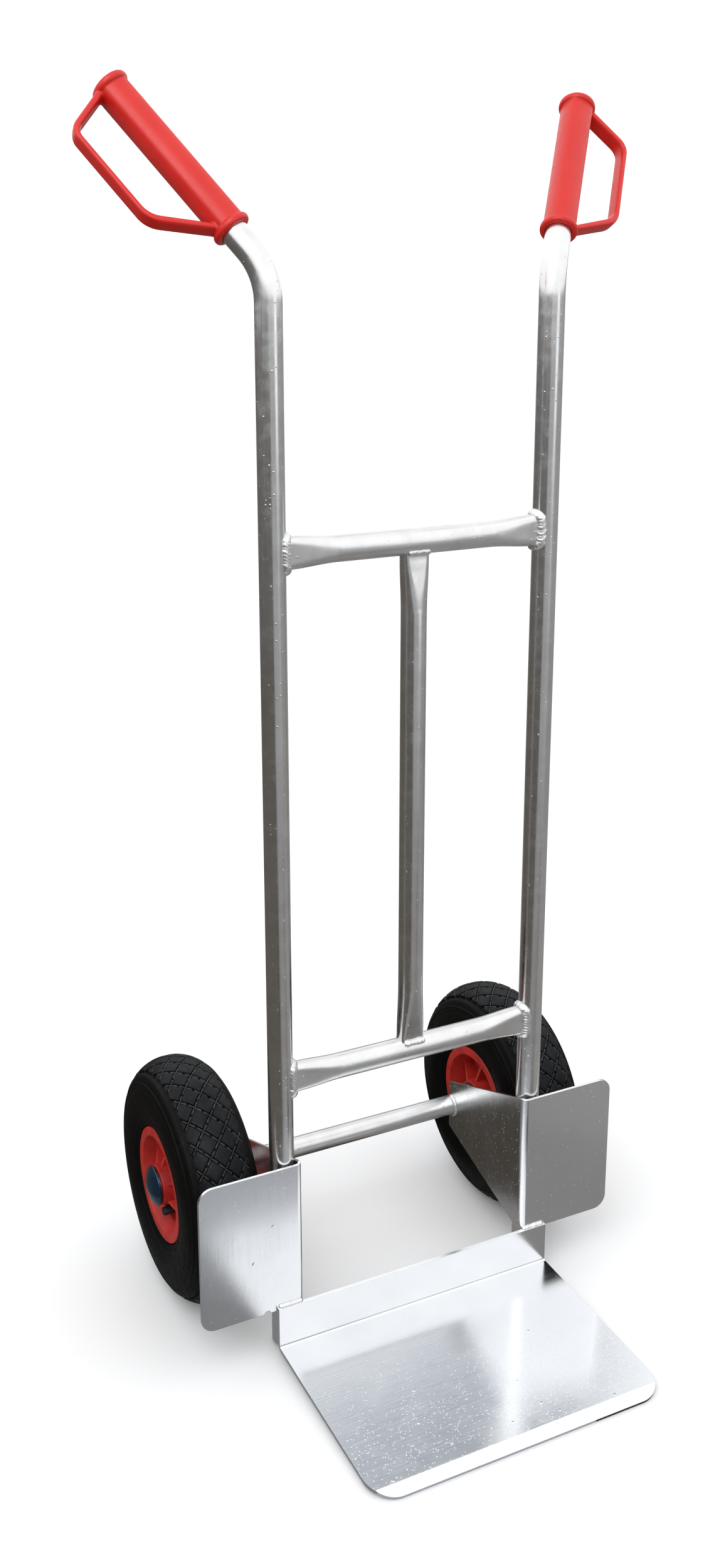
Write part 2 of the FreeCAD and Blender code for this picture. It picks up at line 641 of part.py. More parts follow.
def valve_cap(side):
    tip_x = WHEEL_X + VALVE_DEPTH + VALVE_BEND_RADIUS + VALVE_TIP_LENGTH
    start = V(side * tip_x, AXLE_Y, AXLE_Z) + valve_direction() * VALVE_OFFSET
    cap = cylinder(VALVE_CAP_RADIUS, start, start + X_AXIS * (side * VALVE_CAP_LENGTH))
    return cap.makeFillet(1.2, [e for e in cap.Edges if e.Curve.TypeId == "Part::GeomCircle"])


def hub_bushes(side):
    """Two nylon bushes pressed into the hub, one from each face."""
    rings = []
    for facing in (-1, 1):
        face, end = facing * HUB_HALF, facing * (HUB_HALF - BUSH_LENGTH)
        rings.append(turned(side, (face, BUSH_BORE), (face, BUSH_RADIUS),
                            (end, BUSH_RADIUS), (end, BUSH_BORE)))
    return Part.makeCompound(rings)


# ---- grips -----------------------------------------------------------------------------------------
def grip_axes(side):
    """Where the grip starts, the handle's direction, and the directions towards and across the guard."""
    lean, along, centre, start = handle_frame(side)
    level = V(side * math.cos(math.radians(SPLAY_ANGLE)), -math.sin(math.radians(SPLAY_ANGLE)), 0)
    under = (along.cross(level) * side).normalize()
    turn = math.radians(GUARD_TURN)
    towards = level * math.cos(turn) + under * math.sin(turn)
    bend_length = BEND_RADIUS * math.radians(BEND_ANGLE)
    base = start + along * (GRIP_START - bend_length)
    return base, along, towards, along.cross(towards)


def grip_section(base, towards, across):
    """Square section with bulging sides."""
    corner = GRIP_HALF_CORNER / math.sqrt(2)

    def at(u, v):
        return base + towards * u + across * v

    flats = [(1, 0), (0, 1), (-1, 0), (0, -1)]
    corners = [(1, -1), (1, 1), (-1, 1), (-1, -1)]
    steps = []
    for i, (u, v) in enumerate(flats):
        end = corners[(i + 1) % 4]
        steps.append((at(u * GRIP_HALF_FLAT, v * GRIP_HALF_FLAT), at(end[0] * corner, end[1] * corner)))
    return outline(at(corners[0][0] * corner, corners[0][1] * corner), *steps)


def guard(base, along, towards, across):
    """Knuckle guard: a flat strap bowed outward, from one collar to the other."""
    half = GUARD_THICK / 2

    def at(s, r):
        return base + along * s + towards * r - across * (GUARD_WIDTH / 2)

    outer = [at(GUARD_LOW_END - 4.0, GUARD_ROOT), at(GUARD_LOW_CORNER - 3.0, GUARD_OFFSET + half),
             at(GUARD_HIGH_CORNER + 3.0, GUARD_OFFSET + half), at(GUARD_HIGH_END + 2.5, GUARD_ROOT)]
    inner = [at(GUARD_HIGH_END - 5.0, GUARD_ROOT), at(GUARD_HIGH_CORNER - 1.5, GUARD_OFFSET - half),
             at(GUARD_LOW_CORNER + 2.0, GUARD_OFFSET - half), at(GUARD_LOW_END + 4.0, GUARD_ROOT)]
    strap = prism(outer + inner, across * GUARD_WIDTH)
    corners = [(outer[1], 26.0), (inner[2], 21.0), (outer[2], 17.0), (inner[1], 12.0)]
    return round_edges(strap, corners, across)


def grip(side):
    """Moulded grip: bulged square sleeve, a round collar at each end, closed top and guard."""
    base, along, towards, across = grip_axes(side)
    sleeve = Part.Face(grip_section(base, towards, across)).extrude(along * GRIP_LENGTH)
    reach = GRIP_HALF_CORNER / math.sqrt(2)
    corners = [(base + (towards * a + across * b) * reach, SLEEVE_ROUNDING) for a in (-1, 1) for b in (-1, 1)]
    sleeve = round_edges(sleeve, corners, along)
    body = sleeve.fuse(guard(base, along, towards, across))
    for low in (0.0, GRIP_LENGTH - COLLAR_LENGTH):
        collar = cylinder(COLLAR_RADIUS, base + along * low, base + along * (low + COLLAR_LENGTH))
        rims = [edge for edge in collar.Edges if edge.Curve.TypeId == "Part::GeomCircle"]
        collar = collar.makeFillet(COLLAR_ROUNDING, rims)
        body = body.fuse(collar)
    bend_length = BEND_RADIUS * math.radians(BEND_ANGLE)
    tube_end = HANDLE_LENGTH - (GRIP_START - bend_length)
    bore = cylinder(TUBE_OD / 2 + GAP, base - along * 5, base + along * (tube_end + 0.2))
    return body.cut(bore)


def main():
    os.makedirs("parts", exist_ok=True)
    save("upper_crossbar", crossbar(UPPER_BAR_Z))
    save("lower_crossbar", crossbar(LOWER_BAR_Z))
    save("upper_crossbar_welds", crossbar_welds(UPPER_BAR_Z))
    save("lower_crossbar_welds", crossbar_welds(LOWER_BAR_Z))
    save("centre_strut", centre_strut())
    save("centre_strut_welds", strut_welds())
    save("deflector_welds", deflector_welds())
    save("toe_plate", toe_plate())
    save("toe_plate_welds", toe_plate_welds())
    save("axle_tube", axle_tube())
    save("axle_tube_welds", axle_tube_welds())
    save("axle_rod", axle_rod())
    save("inner_washers", washers(INNER_WASHER))
    save("outer_washers", washers(OUTER_WASHER))
    for name, side in SIDES.items():
        save(name + "_upright_tube", upright_tube(side))
        save(name + "_deflector_plate", deflector_plate(side))
        save(name + "_grip", grip(side))
        save(name + "_hub_cap", hub_cap(side))
        save(name + "_tyre", tyre(side))
        save(name + "_inner_tube", inner_tube(side))
        save(name + "_rim_outer_half", rim_half(side, 1))
        save(name + "_rim_inner_half", rim_half(side, -1))
        save(name + "_hub_bushes", hub_bushes(side))
        save(name + "_valve_stem", valve_stem(side))
        save(name + "_valve_cap", valve_cap(side))


main()
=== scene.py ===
import math
import random
import bmesh
import bpy
import numpy as np
from mathutils import Matrix, Vector


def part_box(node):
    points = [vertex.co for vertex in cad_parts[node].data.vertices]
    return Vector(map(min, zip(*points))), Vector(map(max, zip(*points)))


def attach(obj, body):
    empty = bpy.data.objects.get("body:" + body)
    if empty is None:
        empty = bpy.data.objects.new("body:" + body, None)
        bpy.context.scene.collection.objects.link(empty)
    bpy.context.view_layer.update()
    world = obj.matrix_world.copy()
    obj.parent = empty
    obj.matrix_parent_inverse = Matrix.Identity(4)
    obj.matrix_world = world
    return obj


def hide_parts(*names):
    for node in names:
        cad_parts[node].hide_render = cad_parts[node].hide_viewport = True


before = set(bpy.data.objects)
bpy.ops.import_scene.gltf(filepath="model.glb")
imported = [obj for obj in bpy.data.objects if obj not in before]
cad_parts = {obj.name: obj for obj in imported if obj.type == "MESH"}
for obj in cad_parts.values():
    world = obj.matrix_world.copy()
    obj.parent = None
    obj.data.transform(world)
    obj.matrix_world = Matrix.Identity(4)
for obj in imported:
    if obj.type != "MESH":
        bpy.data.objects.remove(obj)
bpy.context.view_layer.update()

SIDES = {"left": -1, "right": 1}

# ---- places and sizes read from the frame, in metres ----
post_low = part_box("right_upright_tube")[0]
TUBE_R = 0.0125
POST_X = post_low.x + TUBE_R
POST_Y = post_low.y + TUBE_R
POST_FOOT = post_low.z
wheel_low, wheel_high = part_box("right_tyre")
WHEEL_R = 0.130
WHEEL_X = (wheel_low.x + wheel_high.x) / 2
AXLE = (wheel_low + wheel_high) / 2
bar_z = {name: sum(corner.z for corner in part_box(name)) / 2 for name in ("upper_crossbar", "lower_crossbar")}
plate_low, plate_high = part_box("right_deflector_plate")
toe_low, toe_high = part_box("toe_plate")

# handle bend and grip, as angles and lengths along the tube
BEND_START = 1.0507
BEND_R = 0.0655
BEND = math.radians(43.1)
SPLAY = math.radians(42.2)
HANDLE = 0.192
GRIP_START = 0.069
GRIP_LENGTH = 0.1735
GUARD_TURN = math.radians(40.0)

BAR_END_HALF_TALL = 0.0155
BAR_END_HALF_THICK = 0.0078
STRUT_END_HALF_WIDE = 0.0142
STRUT_END_HALF_DEEP = 0.0072
PRESSED_FLAT = 0.004             # length pressed evenly at each end, before the taper
BAR_TAPER = 0.048
STRUT_TAPER = 0.052


# ---- materials ----
class Nodes:
    """Short-hand for building one material's node tree."""

    def __init__(self, name):
        self.material = bpy.data.materials.new(name)
        self.material.use_nodes = True
        self.tree = self.material.node_tree
        self.shader = self.tree.nodes["Principled BSDF"]
        self.place = self.add("ShaderNodeTexCoord").outputs["Object"]

    def add(self, kind, **settings):
        node = self.tree.nodes.new(kind)
        for key, value in settings.items():
            setattr(node, key, value)
        return node

    def link(self, source, target):
        self.tree.links.new(source, target)

    def set(self, **values):
        for key, value in values.items():
            self.shader.inputs[key.replace("_", " ")].default_value = value

    def feed(self, **sources):
        """Link sources to the shader's inputs."""
        for key, source in sources.items():
            self.link(source, self.shader.inputs[key.replace("_", " ")])

    def stretched(self, scale):
        """Object coordinates times a scale on each axis."""
        mapping = self.add("ShaderNodeMapping")
        mapping.inputs["Scale"].default_value = scale
        self.link(self.place, mapping.inputs["Vector"])
        return mapping.outputs["Vector"]

    def noise(self, scale, detail=3.0, where=None, rough=0.5):
        node = self.add("ShaderNodeTexNoise")
        node.inputs["Scale"].default_value = scale
        node.inputs["Detail"].default_value = detail
        node.inputs["Roughness"].default_value = rough
        self.link(where or self.place, node.inputs["Vector"])
        return node.outputs["Fac"]

    def remap(self, value, low, high, to_low, to_high):
        node = self.add("ShaderNodeMapRange")
        for key, number in (("From Min", low), ("From Max", high), ("To Min", to_low), ("To Max", to_high)):
            node.inputs[key].default_value = number
        self.link(value, node.inputs["Value"])
        return node.outputs["Result"]

    def math(self, operation, a, b=None):
        node = self.add("ShaderNodeMath", operation=operation)
        for i, value in enumerate((a, b)):
            if value is None:
                continue
            if isinstance(value, (int, float)):
                node.inputs[i].default_value = value
            else:
                self.link(value, node.inputs[i])
        return node.outputs["Value"]

    def ramp(self, value, *stops):
        node = self.add("ShaderNodeValToRGB")
        elements = node.color_ramp.elements
        while len(elements) < len(stops):
            elements.new(0.5)
        for element, (position, colour) in zip(elements, stops):
            element.position = position
            element.color = (*colour, 1.0)
        self.link(value, node.inputs["Fac"])
        return node.outputs["Color"]

    def bump(self, height, strength, distance, below=None):
        node = self.add("ShaderNodeBump")
        node.inputs["Strength"].default_value = strength
        node.inputs["Distance"].default_value = distance
        self.link(height, node.inputs["Height"])
        if below is not None:
            self.link(below, node.inputs["Normal"])
        return node.outputs["Normal"]

    def drops(self, cell, share):
        """Height of scattered water drops: round caps on a share of the cells of a Voronoi pattern."""
        cells = self.add("ShaderNodeTexVoronoi")
        cells.inputs["Scale"].default_value = 1.0 / cell
        self.link(self.place, cells.inputs["Vector"])
        cap = self.remap(cells.outputs["Distance"], 0.10, 0.30, 1.0, 0.0)
        picked = self.add("ShaderNodeSeparateColor")
        self.link(cells.outputs["Color"], picked.inputs["Color"])
        keep = self.math("LESS_THAN", picked.outputs["Red"], share)
        return self.math("MULTIPLY", cap, keep)


def tube_metal(name, grain, patches, rough, rise, share):
    """Bright drawn aluminium tube: long faint draw lines, soft cloudy patches and a few drops."""
    n = Nodes(name)
    n.set(Metallic=1.0)
    n.feed(Base_Color=n.ramp(n.noise(38.0, 4.0), (0.30, (0.80, 0.79, 0.78)), (0.70, (0.90, 0.90, 0.90))))
    lines = n.noise(1.0, 4.0, n.stretched(grain))
    patch = n.noise(patches, 5.0)
    n.feed(Roughness=n.math("ADD", n.remap(lines, 0.3, 0.7, *rough), n.remap(patch, 0.45, 0.75, 0.0, rise)))
    drawn = n.bump(lines, 0.10, 0.0003)
    n.feed(Normal=n.bump(n.drops(0.0034, share), 0.6, 0.0005, drawn))
    return n.material


def sheet_metal(name, grain, rough_low, share, wet_edge=None):
    """Brushed aluminium sheet with its grain along one axis and small water drops.
    Given (dry y, wet y), the drops grow denser from one to the other."""
    n = Nodes(name)
    n.feed(Base_Color=n.ramp(n.noise(16.0, 5.0), (0.30, (0.87, 0.88, 0.90)), (0.72, (0.91, 0.92, 0.93))))
    lines = n.noise(1.0, 5.0, n.stretched(grain))
    smear = n.noise(26.0, 6.0)
    n.feed(Roughness=n.math("ADD", n.remap(lines, 0.3, 0.7, rough_low, rough_low + 0.08),
                            n.remap(smear, 0.45, 0.8, 0.0, 0.07)))
    if wet_edge:
        place = n.add("ShaderNodeSeparateXYZ")
        n.link(n.place, place.inputs["Vector"])
        share = n.remap(place.outputs["Y"], *wet_edge, 0.01, share)
    small = n.drops(0.0019, share)
    large = n.drops(0.0055, n.math("MULTIPLY", share, 0.10))
    n.feed(Metallic=n.math("SUBTRACT", 1.0, n.math("MULTIPLY", small, 0.9)))
    brushed = n.bump(lines, 0.08, 0.0004)
    wet = n.bump(small, 0.25, 0.0003, brushed)
    n.feed(Normal=n.bump(large, 0.6, 0.0008, wet))
    return n.material


def mottled(name, cloud, stops, grain, rough, skin=None, **values):
    """A surface whose colour follows one noise and whose roughness another, with an optional fine skin.
    cloud and grain are a noise's scale and detail; skin adds the bump's strength and distance."""
    n = Nodes(name)
    n.set(**values)
    n.feed(Base_Color=n.ramp(n.noise(*cloud), *stops))
    n.feed(Roughness=n.remap(n.noise(*grain), 0.3, 0.7, *rough))
    if skin:
        scale, detail, strength, distance = skin
        n.feed(Normal=n.bump(n.noise(scale, detail), strength, distance))
    return n.material


def tyre_rubber(name, dark, light, rough, shine):
    """Black rubber with dusty patches."""
    return mottled(name, (70.0, 7.0, None, 0.65), ((0.35, dark), (0.75, light)), (160.0, 4.0),
                   (rough - 0.10, rough + 0.08), (1300.0, 4.0, 0.25, 0.0003),
                   IOR=1.50, Specular_IOR_Level=shine)


def dull_plastic(name, dark, light):
    return mottled(name, (150.0, 4.0), ((0.3, dark), (0.7, light)), (250.0, 4.0), (0.38, 0.55))


MATERIALS = {
    "tube": tube_metal("tube_aluminium", (1400.0, 1400.0, 14.0), 90.0, (0.17, 0.25), 0.10, 0.06),
    "cross_tube": tube_metal("cross_tube_aluminium", (14.0, 1400.0, 1400.0), 110.0, (0.27, 0.36), 0.08, 0.08),
    "deflector": sheet_metal("deflector_sheet", (1500.0, 1500.0, 18.0), 0.18, 0.035),
    "toe": sheet_metal("toe_sheet", (18.0, 1500.0, 1500.0), 0.12, 0.34,
                       (toe_high.y - 0.06, toe_low.y + 0.05)),
    "weld": mottled("weld_metal", (260.0, 3.0), ((0.3, (0.82, 0.82, 0.83)), (0.7, (0.93, 0.93, 0.94))),
                    (700.0, 2.0), (0.34, 0.50), (900.0, 3.0, 0.12, 0.0004), Metallic=1.0),
    # satin red moulding with a fine pebbled skin
    "grip": mottled("grip_plastic", (30.0, 5.0), ((0.25, (0.56, 0.009, 0.005)), (0.75, (0.64, 0.016, 0.009))),
                    (140.0, 4.0), (0.30, 0.42), (2600.0, 2.0, 0.10, 0.0002), IOR=1.50,
                    Subsurface_Weight=0.05, Subsurface_Scale=0.003, Subsurface_Radius=(1.0, 0.25, 0.15)),
    # duller red, with grime in patches
    "rim": mottled("rim_plastic", (45.0, 6.0),
                   ((0.28, (0.30, 0.012, 0.010)), (0.45, (0.46, 0.020, 0.014)), (0.75, (0.56, 0.030, 0.020))),
                   (120.0, 4.0), (0.36, 0.55), (1800.0, 2.0, 0.10, 0.0002), IOR=1.48),
    "tyre": tyre_rubber("tyre_rubber", (0.0012, 0.0012, 0.0011), (0.0042, 0.0039, 0.0035), 0.55, 0.13),
    # tread and rib rubber are lighter copies of the casing rubber: painted light on the block tops and a
    # painted highlight on the groove ribs, against the darker casing rubber on the groove floors
    "tread": tyre_rubber("tread_rubber_painted_light", (0.0018, 0.0021, 0.0026), (0.0100, 0.0116, 0.0146), 0.46, 0.19),
    "ribs": tyre_rubber("rib_rubber_painted_highlight", (0.012, 0.0125, 0.013), (0.060, 0.062, 0.066), 0.55, 0.30),
    # dark blue lacquer over steel
    "cap": mottled("blue_cap", (120.0, 4.0), ((0.3, (0.005, 0.032, 0.080)), (0.7, (0.010, 0.060, 0.135))),
                   (300.0, 3.0), (0.18, 0.30), Metallic=0.75, Coat_Weight=0.8, Coat_Roughness=0.06),
    "steel": mottled("zinc_steel", (90.0, 5.0), ((0.3, (0.40, 0.40, 0.40)), (0.7, (0.60, 0.60, 0.59))),
                     (220.0, 4.0), (0.25, 0.42), Metallic=1.0),
    "valve": dull_plastic("valve_rubber", (0.006, 0.006, 0.006), (0.018, 0.018, 0.018)),
    "nylon": dull_plastic("bush_nylon", (0.55, 0.54, 0.50), (0.72, 0.71, 0.67)),
}


# ---- mesh tools ----
class Build:
    """Gathers points and faces of one piece, which may be several closed shells."""

    def __init__(self):
        self.points = []
        self.faces = []

    def add(self, points, faces):
        start = len(self.points)
        self.points.extend([tuple(p) for p in points])
        self.faces.extend([tuple(start + i for i in face) for face in faces])

    def grid(self, rows, wrap_rows=False, wrap_columns=True, cap_start=False, cap_end=False):
        """Quads over rows of equally many points."""
        rows = [list(map(tuple, row)) for row in rows]
        count, width = len(rows), len(rows[0])
        faces = []
        for i in range(count if wrap_rows else count - 1):
            for j in range(width if wrap_columns else width - 1):
                k = (j + 1) % width
                below, above = i * width, ((i + 1) % count) * width
                faces.append((below + j, below + k, above + k, above + j))
        if cap_start:
            faces.append(tuple(reversed(range(width))))
        if cap_end:
            faces.append(tuple(range((count - 1) * width, count * width)))
        self.add([p for row in rows for p in row], faces)

    def piece(self, name, body, material, replaces=(), crease=35.0, bevel=0.0, melt=0.0):
        mesh = bpy.data.meshes.new(name)
        mesh.from_pydata(self.points, [], self.faces)
        tidy = bmesh.new()
        tidy.from_mesh(mesh)
        bmesh.ops.recalc_face_normals(tidy, faces=tidy.faces)
        tidy.to_mesh(mesh)
        tidy.free()
        mesh.polygons.foreach_set("use_smooth", [True] * len(mesh.polygons))
        obj = bpy.data.objects.new(name, mesh)
        bpy.context.scene.collection.objects.link(obj)
        mesh.materials.append(MATERIALS[material])
        if melt:
            modifier = obj.modifiers.new("melt", "REMESH")
            modifier.mode = "VOXEL"
            modifier.voxel_size = melt
            modifier.use_smooth_shade = True
            modifier = obj.modifiers.new("soften", "SMOOTH")
            modifier.factor = 0.5
            modifier.iterations = 6
            bake_modifiers(obj)
        elif bevel:
            modifier = obj.modifiers.new("edges", "BEVEL")
            modifier.width = bevel
            modifier.segments = 3
            modifier.limit_method = "ANGLE"
            modifier.angle_limit = math.radians(50)
            obj.modifiers.new("flat_faces", "WEIGHTED_NORMAL")
            bake_modifiers(obj)
        else:
            obj.data.set_sharp_from_angle(angle=math.radians(crease))
        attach(obj, body)
        if replaces:
            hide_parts(*replaces)
        return obj


def bake_modifiers(obj):
    """Replace the mesh by what its modifiers make of it."""
    graph = bpy.context.evaluated_depsgraph_get()
    made = bpy.data.meshes.new_from_object(obj.evaluated_get(graph))
    made.name = obj.name
    obj.modifiers.clear()
    old = obj.data
    obj.data = made
    bpy.data.meshes.remove(old)


def sweep_frames(path, up):
    """Tangent and two cross directions at each point of a path, turning as little as possible."""
    path = np.asarray(path, float)
    tangents = np.gradient(path, axis=0)
    tangents /= np.linalg.norm(tangents, axis=1)[:, None]
    side = np.cross(up, tangents[0])
    side /= np.linalg.norm(side)
    frames = []
    for tangent in tangents:
        side = side - tangent * side.dot(tangent)
        side /= np.linalg.norm(side)
        frames.append((tangent, side, np.cross(tangent, side)))
    return frames


def sweep_rows(path, section, up):
    """Rings of points: section(i) gives (across, upward) offsets at the path's i-th point."""
    rows = []
    for i, (point, (_, side, other)) in enumerate(zip(np.asarray(path, float), sweep_frames(path, up))):
        rows.append([point + side * a + other * b for a, b in section(i)])
    return rows


def circle(radius, count=64):
    return [(radius * math.cos(2 * math.pi * j / count), radius * math.sin(2 * math.pi * j / count))
            for j in range(count)]


def rounded_path(points, radii, step=0.0008):
    """A line through points with each inner corner replaced by an arc, and straight runs left as they are."""
    points = [np.asarray(p, float) for p in points]
    path = [points[0]]
    for before, here, after, radius in zip(points, points[1:], points[2:], radii):
        back = (before - here) / np.linalg.norm(before - here)
        ahead = (after - here) / np.linalg.norm(after - here)
        half = math.acos(max(-1.0, min(1.0, back.dot(ahead)))) / 2
        reach = radius / math.tan(half)
        middle = (back + ahead) / np.linalg.norm(back + ahead)
        centre = here + middle * (radius / math.sin(half))
        start, end = here + back * reach, here + ahead * reach
        turn = math.pi - 2 * half
        count = max(3, int(math.ceil(radius * turn / step)))
        u = (start - centre) / radius
        w = (end - centre) / radius
        w = w - u * u.dot(w)
        w /= np.linalg.norm(w)
        for i in range(count + 1):
            angle = turn * i / count
            path.append(centre + radius * (u * math.cos(angle) + w * math.sin(angle)))
    path.append(points[-1])
    return path


def filled_in(path, step):
    """The same path with points added so that none are further apart than step."""
    dense = [np.asarray(path[0], float)]
    for a, b in zip(path, path[1:]):
        a, b = np.asarray(a, float), np.asarray(b, float)
        count = max(1, int(math.ceil(np.linalg.norm(b - a) / step)))
        dense += [a + (b - a) * i / count for i in range(1, count + 1)]
    return dense


def soft_limit(value, limit, softness):
    """value, kept below limit with a soft knee."""
    gap = max(softness - abs(value - limit), 0.0) / softness
    return min(value, limit) - gap * gap * softness / 4


# ---- uprights ----
def handle(side):
    """The bend's level direction, the handle's direction, the bend centre and the handle's start."""
    lean = np.array([side * math.sin(SPLAY), math.cos(SPLAY), 0.0])
    up = np.array([0.0, 0.0, 1.0])
    along = lean * math.sin(BEND) + up * math.cos(BEND)
    centre = np.array([side * POST_X, POST_Y, BEND_START]) + lean * BEND_R
    start = centre - lean * (BEND_R * math.cos(BEND)) + up * (BEND_R * math.sin(BEND))
    return lean, along, centre, start


def upright(name, side):
    lean, along, centre, start = handle(side)
    up = np.array([0.0, 0.0, 1.0])
    path = [np.array([side * POST_X, POST_Y, z]) for z in np.linspace(POST_FOOT, BEND_START, 40)]
    bend_steps = 28
    for i in range(1, bend_steps + 1):
        angle = BEND * i / bend_steps
        path.append(centre - lean * (BEND_R * math.cos(angle)) + up * (BEND_R * math.sin(angle)))
    path += [start + along * (HANDLE * t) for t in (0.2, 0.4, 0.7, 1.0)]
    edge, wall = 0.0004, 0.002
    outer = [path[0] + up * edge] + path[1:-1] + [path[-1] - along * edge]
    frames = sweep_frames(path, lean)

    def ring(point, frame_at, radius):
        _, across, other = frame_at
        return [point + across * a + other * b for a, b in circle(radius)]

    # outside skin, rounded edge, open bore
    stations = list(zip(outer, frames))
    rows = [ring(*station, TUBE_R) for station in stations]
    rows += [ring(path[-1], frames[-1], TUBE_R - inset) for inset in (edge, wall)]
    rows += [ring(*station, TUBE_R - wall) for station in stations[-2:0:-1]]
    rows += [ring(path[0], frames[0], TUBE_R - inset) for inset in (wall, edge)]
    build = Build()
    build.grid(rows, wrap_rows=True)
    build.piece(name + "_upright_skin", "frame", "tube", [name + "_upright_tube"])


# ---- crossbars and strut ----
def pressed_section(distance, half_tall, half_thick, flat, taper, count=72):
    """Tube section at a distance from its pressed end, as (across the press, along the face)."""
    if distance >= flat + taper:
        return circle(TUBE_R, count)
    share = 1.0 - max(0.0, distance - flat) / taper
    limit = TUBE_R + 0.0004 - (TUBE_R + 0.0004 - half_thick) * share
    spread = 1.0 + (half_tall / TUBE_R - 1.0) * share * share * (3 - 2 * share)
    points = []
    for across, tall in circle(TUBE_R, count):
        kept = soft_limit(abs(across), limit, 0.0026)
        points.append((math.copysign(kept, across), tall * spread))
    return points


def pressed_tube(half, counts, size, taper, fade, place):
    """Tube with both ends pressed front and back and coped to the tubes that they meet.
    place turns (along, across, tall) into a point; the cope fades out over the length fade."""
    stations = sorted({*np.linspace(0.0, PRESSED_FLAT, counts[0]),
                       *np.linspace(PRESSED_FLAT, PRESSED_FLAT + taper, counts[1]), half})
    rows = []
    for end in (-1, 1):
        for distance in stations if end < 0 else stations[-2::-1]:
            ring = []
            for across, tall in pressed_section(distance, *size, PRESSED_FLAT, taper):
                cope = TUBE_R - math.sqrt(TUBE_R ** 2 - min(abs(across), TUBE_R * 0.98) ** 2)
                pull = max(0.0, 1.0 - distance / fade)
                ring.append(place((half - distance + (cope + 0.0003) * pull) * end, across, tall))
            rows.append(ring)
    build = Build()
    build.grid(rows, cap_start=True, cap_end=True)
    return build


def crossbar(name, z):
    build = pressed_tube(POST_X - TUBE_R, (4, 22), (BAR_END_HALF_TALL, BAR_END_HALF_THICK), BAR_TAPER, 0.020,
                         lambda along, across, tall: (along, POST_Y + across, z + tall))
    build.piece(name + "_skin", "frame", "cross_tube", [name])


def strut():
    low, high = bar_z["lower_crossbar"] + TUBE_R, bar_z["upper_crossbar"] - TUBE_R
    middle = (high + low) / 2
    size = (STRUT_END_HALF_WIDE, STRUT_END_HALF_DEEP)
    build = pressed_tube((high - low) / 2, (6, 18), size, STRUT_TAPER, 0.015,
                         lambda along, across, wide: (wide, POST_Y + across, middle + along))
    build.piece("centre_strut_skin", "frame", "tube", ["centre_strut"])


# ---- weld beads ----
def bead(build, path, normals, radius, pitch, closed, seed, height=0.75, sag=0.9, depth=0.12):
    """A weld laid as overlapping puddles along a path.  normals point away from the joint."""
    rng = random.Random(seed)
    path = np.asarray(path, float)
    normals = np.asarray(normals, float)
    run = np.vstack([path, path[:1]]) if closed else path
    lengths = np.concatenate([[0.0], np.cumsum(np.linalg.norm(np.diff(run, axis=0), axis=1))])
    total = lengths[-1]
    ripples = max(3, round(total / pitch))
    sizes = [1.0 + rng.uniform(-0.10, 0.10) for _ in range(ripples + 1)]
    steps = ripples * 8
    around = 20
    rows = []
    for i in range(steps if closed else steps + 1):
        s = total * i / steps
        k = min(int(np.searchsorted(lengths, s, side="right")) - 1, len(run) - 2)
        t = (s - lengths[k]) / max(lengths[k + 1] - lengths[k], 1e-9)
        point = run[k] * (1 - t) + run[k + 1] * t
        tangent = run[k + 1] - run[k]
        tangent /= np.linalg.norm(tangent)
        normal = normals[k % len(normals)] * (1 - t) + normals[(k + 1) % len(normals)] * t
        normal -= tangent * normal.dot(tangent)
        normal /= np.linalg.norm(normal)
        across = np.cross(tangent, normal)
        taper = 1.0
        if not closed:
            taper = math.sqrt(max(0.02, 1 - max(0.0, 1 - min(s, total - s) / radius) ** 2))
        ring = []
        for j in range(around):
            angle = 2 * math.pi * j / around
            a, b = math.cos(angle), math.sin(angle)
            phase = s / (total / ripples) + sag * (a * a) * radius / pitch * 0.8
            place = phase % 1.0
            swell = math.sqrt(max(0.0, 1 - (2 * place - 1) ** 2)) * (0.75 + 0.25 * place)
            size = sizes[int(phase) % ripples if closed else min(int(phase), ripples)]
            grow = taper * size * (1 - depth + depth * swell)
            ring.append(point + across * (a * radius * grow) + normal * (b * radius * height * grow))
        rows.append(ring)
    build.grid(rows, wrap_rows=closed, cap_start=not closed, cap_end=not closed)


def crossbar_welds(name, z, seed):
    """A bead round each pressed end, following the post that it meets."""
    build = Build()
    size = (BAR_END_HALF_TALL, BAR_END_HALF_THICK)
    for end in (-1, 1):
        path, normals = [], []
        for across, tall in pressed_section(0.0, *size, PRESSED_FLAT, BAR_TAPER, 96):
            out = np.array([0.0, across / BAR_END_HALF_THICK, tall / BAR_END_HALF_TALL * 1.4])
            out /= np.linalg.norm(out)
            grow = 0.0008
            y, up = across + out[1] * grow, tall + out[2] * grow
            x = POST_X - math.sqrt(max(1e-9, TUBE_R ** 2 - min(abs(y), TUBE_R * 0.97) ** 2)) - 0.0010
            path.append((end * x, POST_Y + y, z + up))
            normals.append(out + np.array([-end * 0.9, 0.0, 0.0]))
        bead(build, path, normals, 0.0050, 0.0031, True, seed + end)
    build.piece(name + "_weld_beads", "frame", "weld", [name + "_welds"])


def strut_welds():
    """A bead across the front and one across the back of each end of the strut."""
    build = Build()
    reach = STRUT_END_HALF_WIDE - 0.001
    for bar, way in (("lower_crossbar", 1), ("upper_crossbar", -1)):
        for facing in (-1, 1):
            y = facing * (STRUT_END_HALF_DEEP + 0.0012)
            z = bar_z[bar] + way * (math.sqrt(TUBE_R ** 2 - y * y) + 0.0006)
            straight_bead(build, (-reach * 0.86, POST_Y + y, z), (reach, POST_Y + y, z),
                          (0.0, facing, way * 0.7), 0.0034, 0.0040, 40 + way + facing, 0.16)
    build.piece("centre_strut_weld_beads", "frame", "weld", ["centre_strut_welds"])


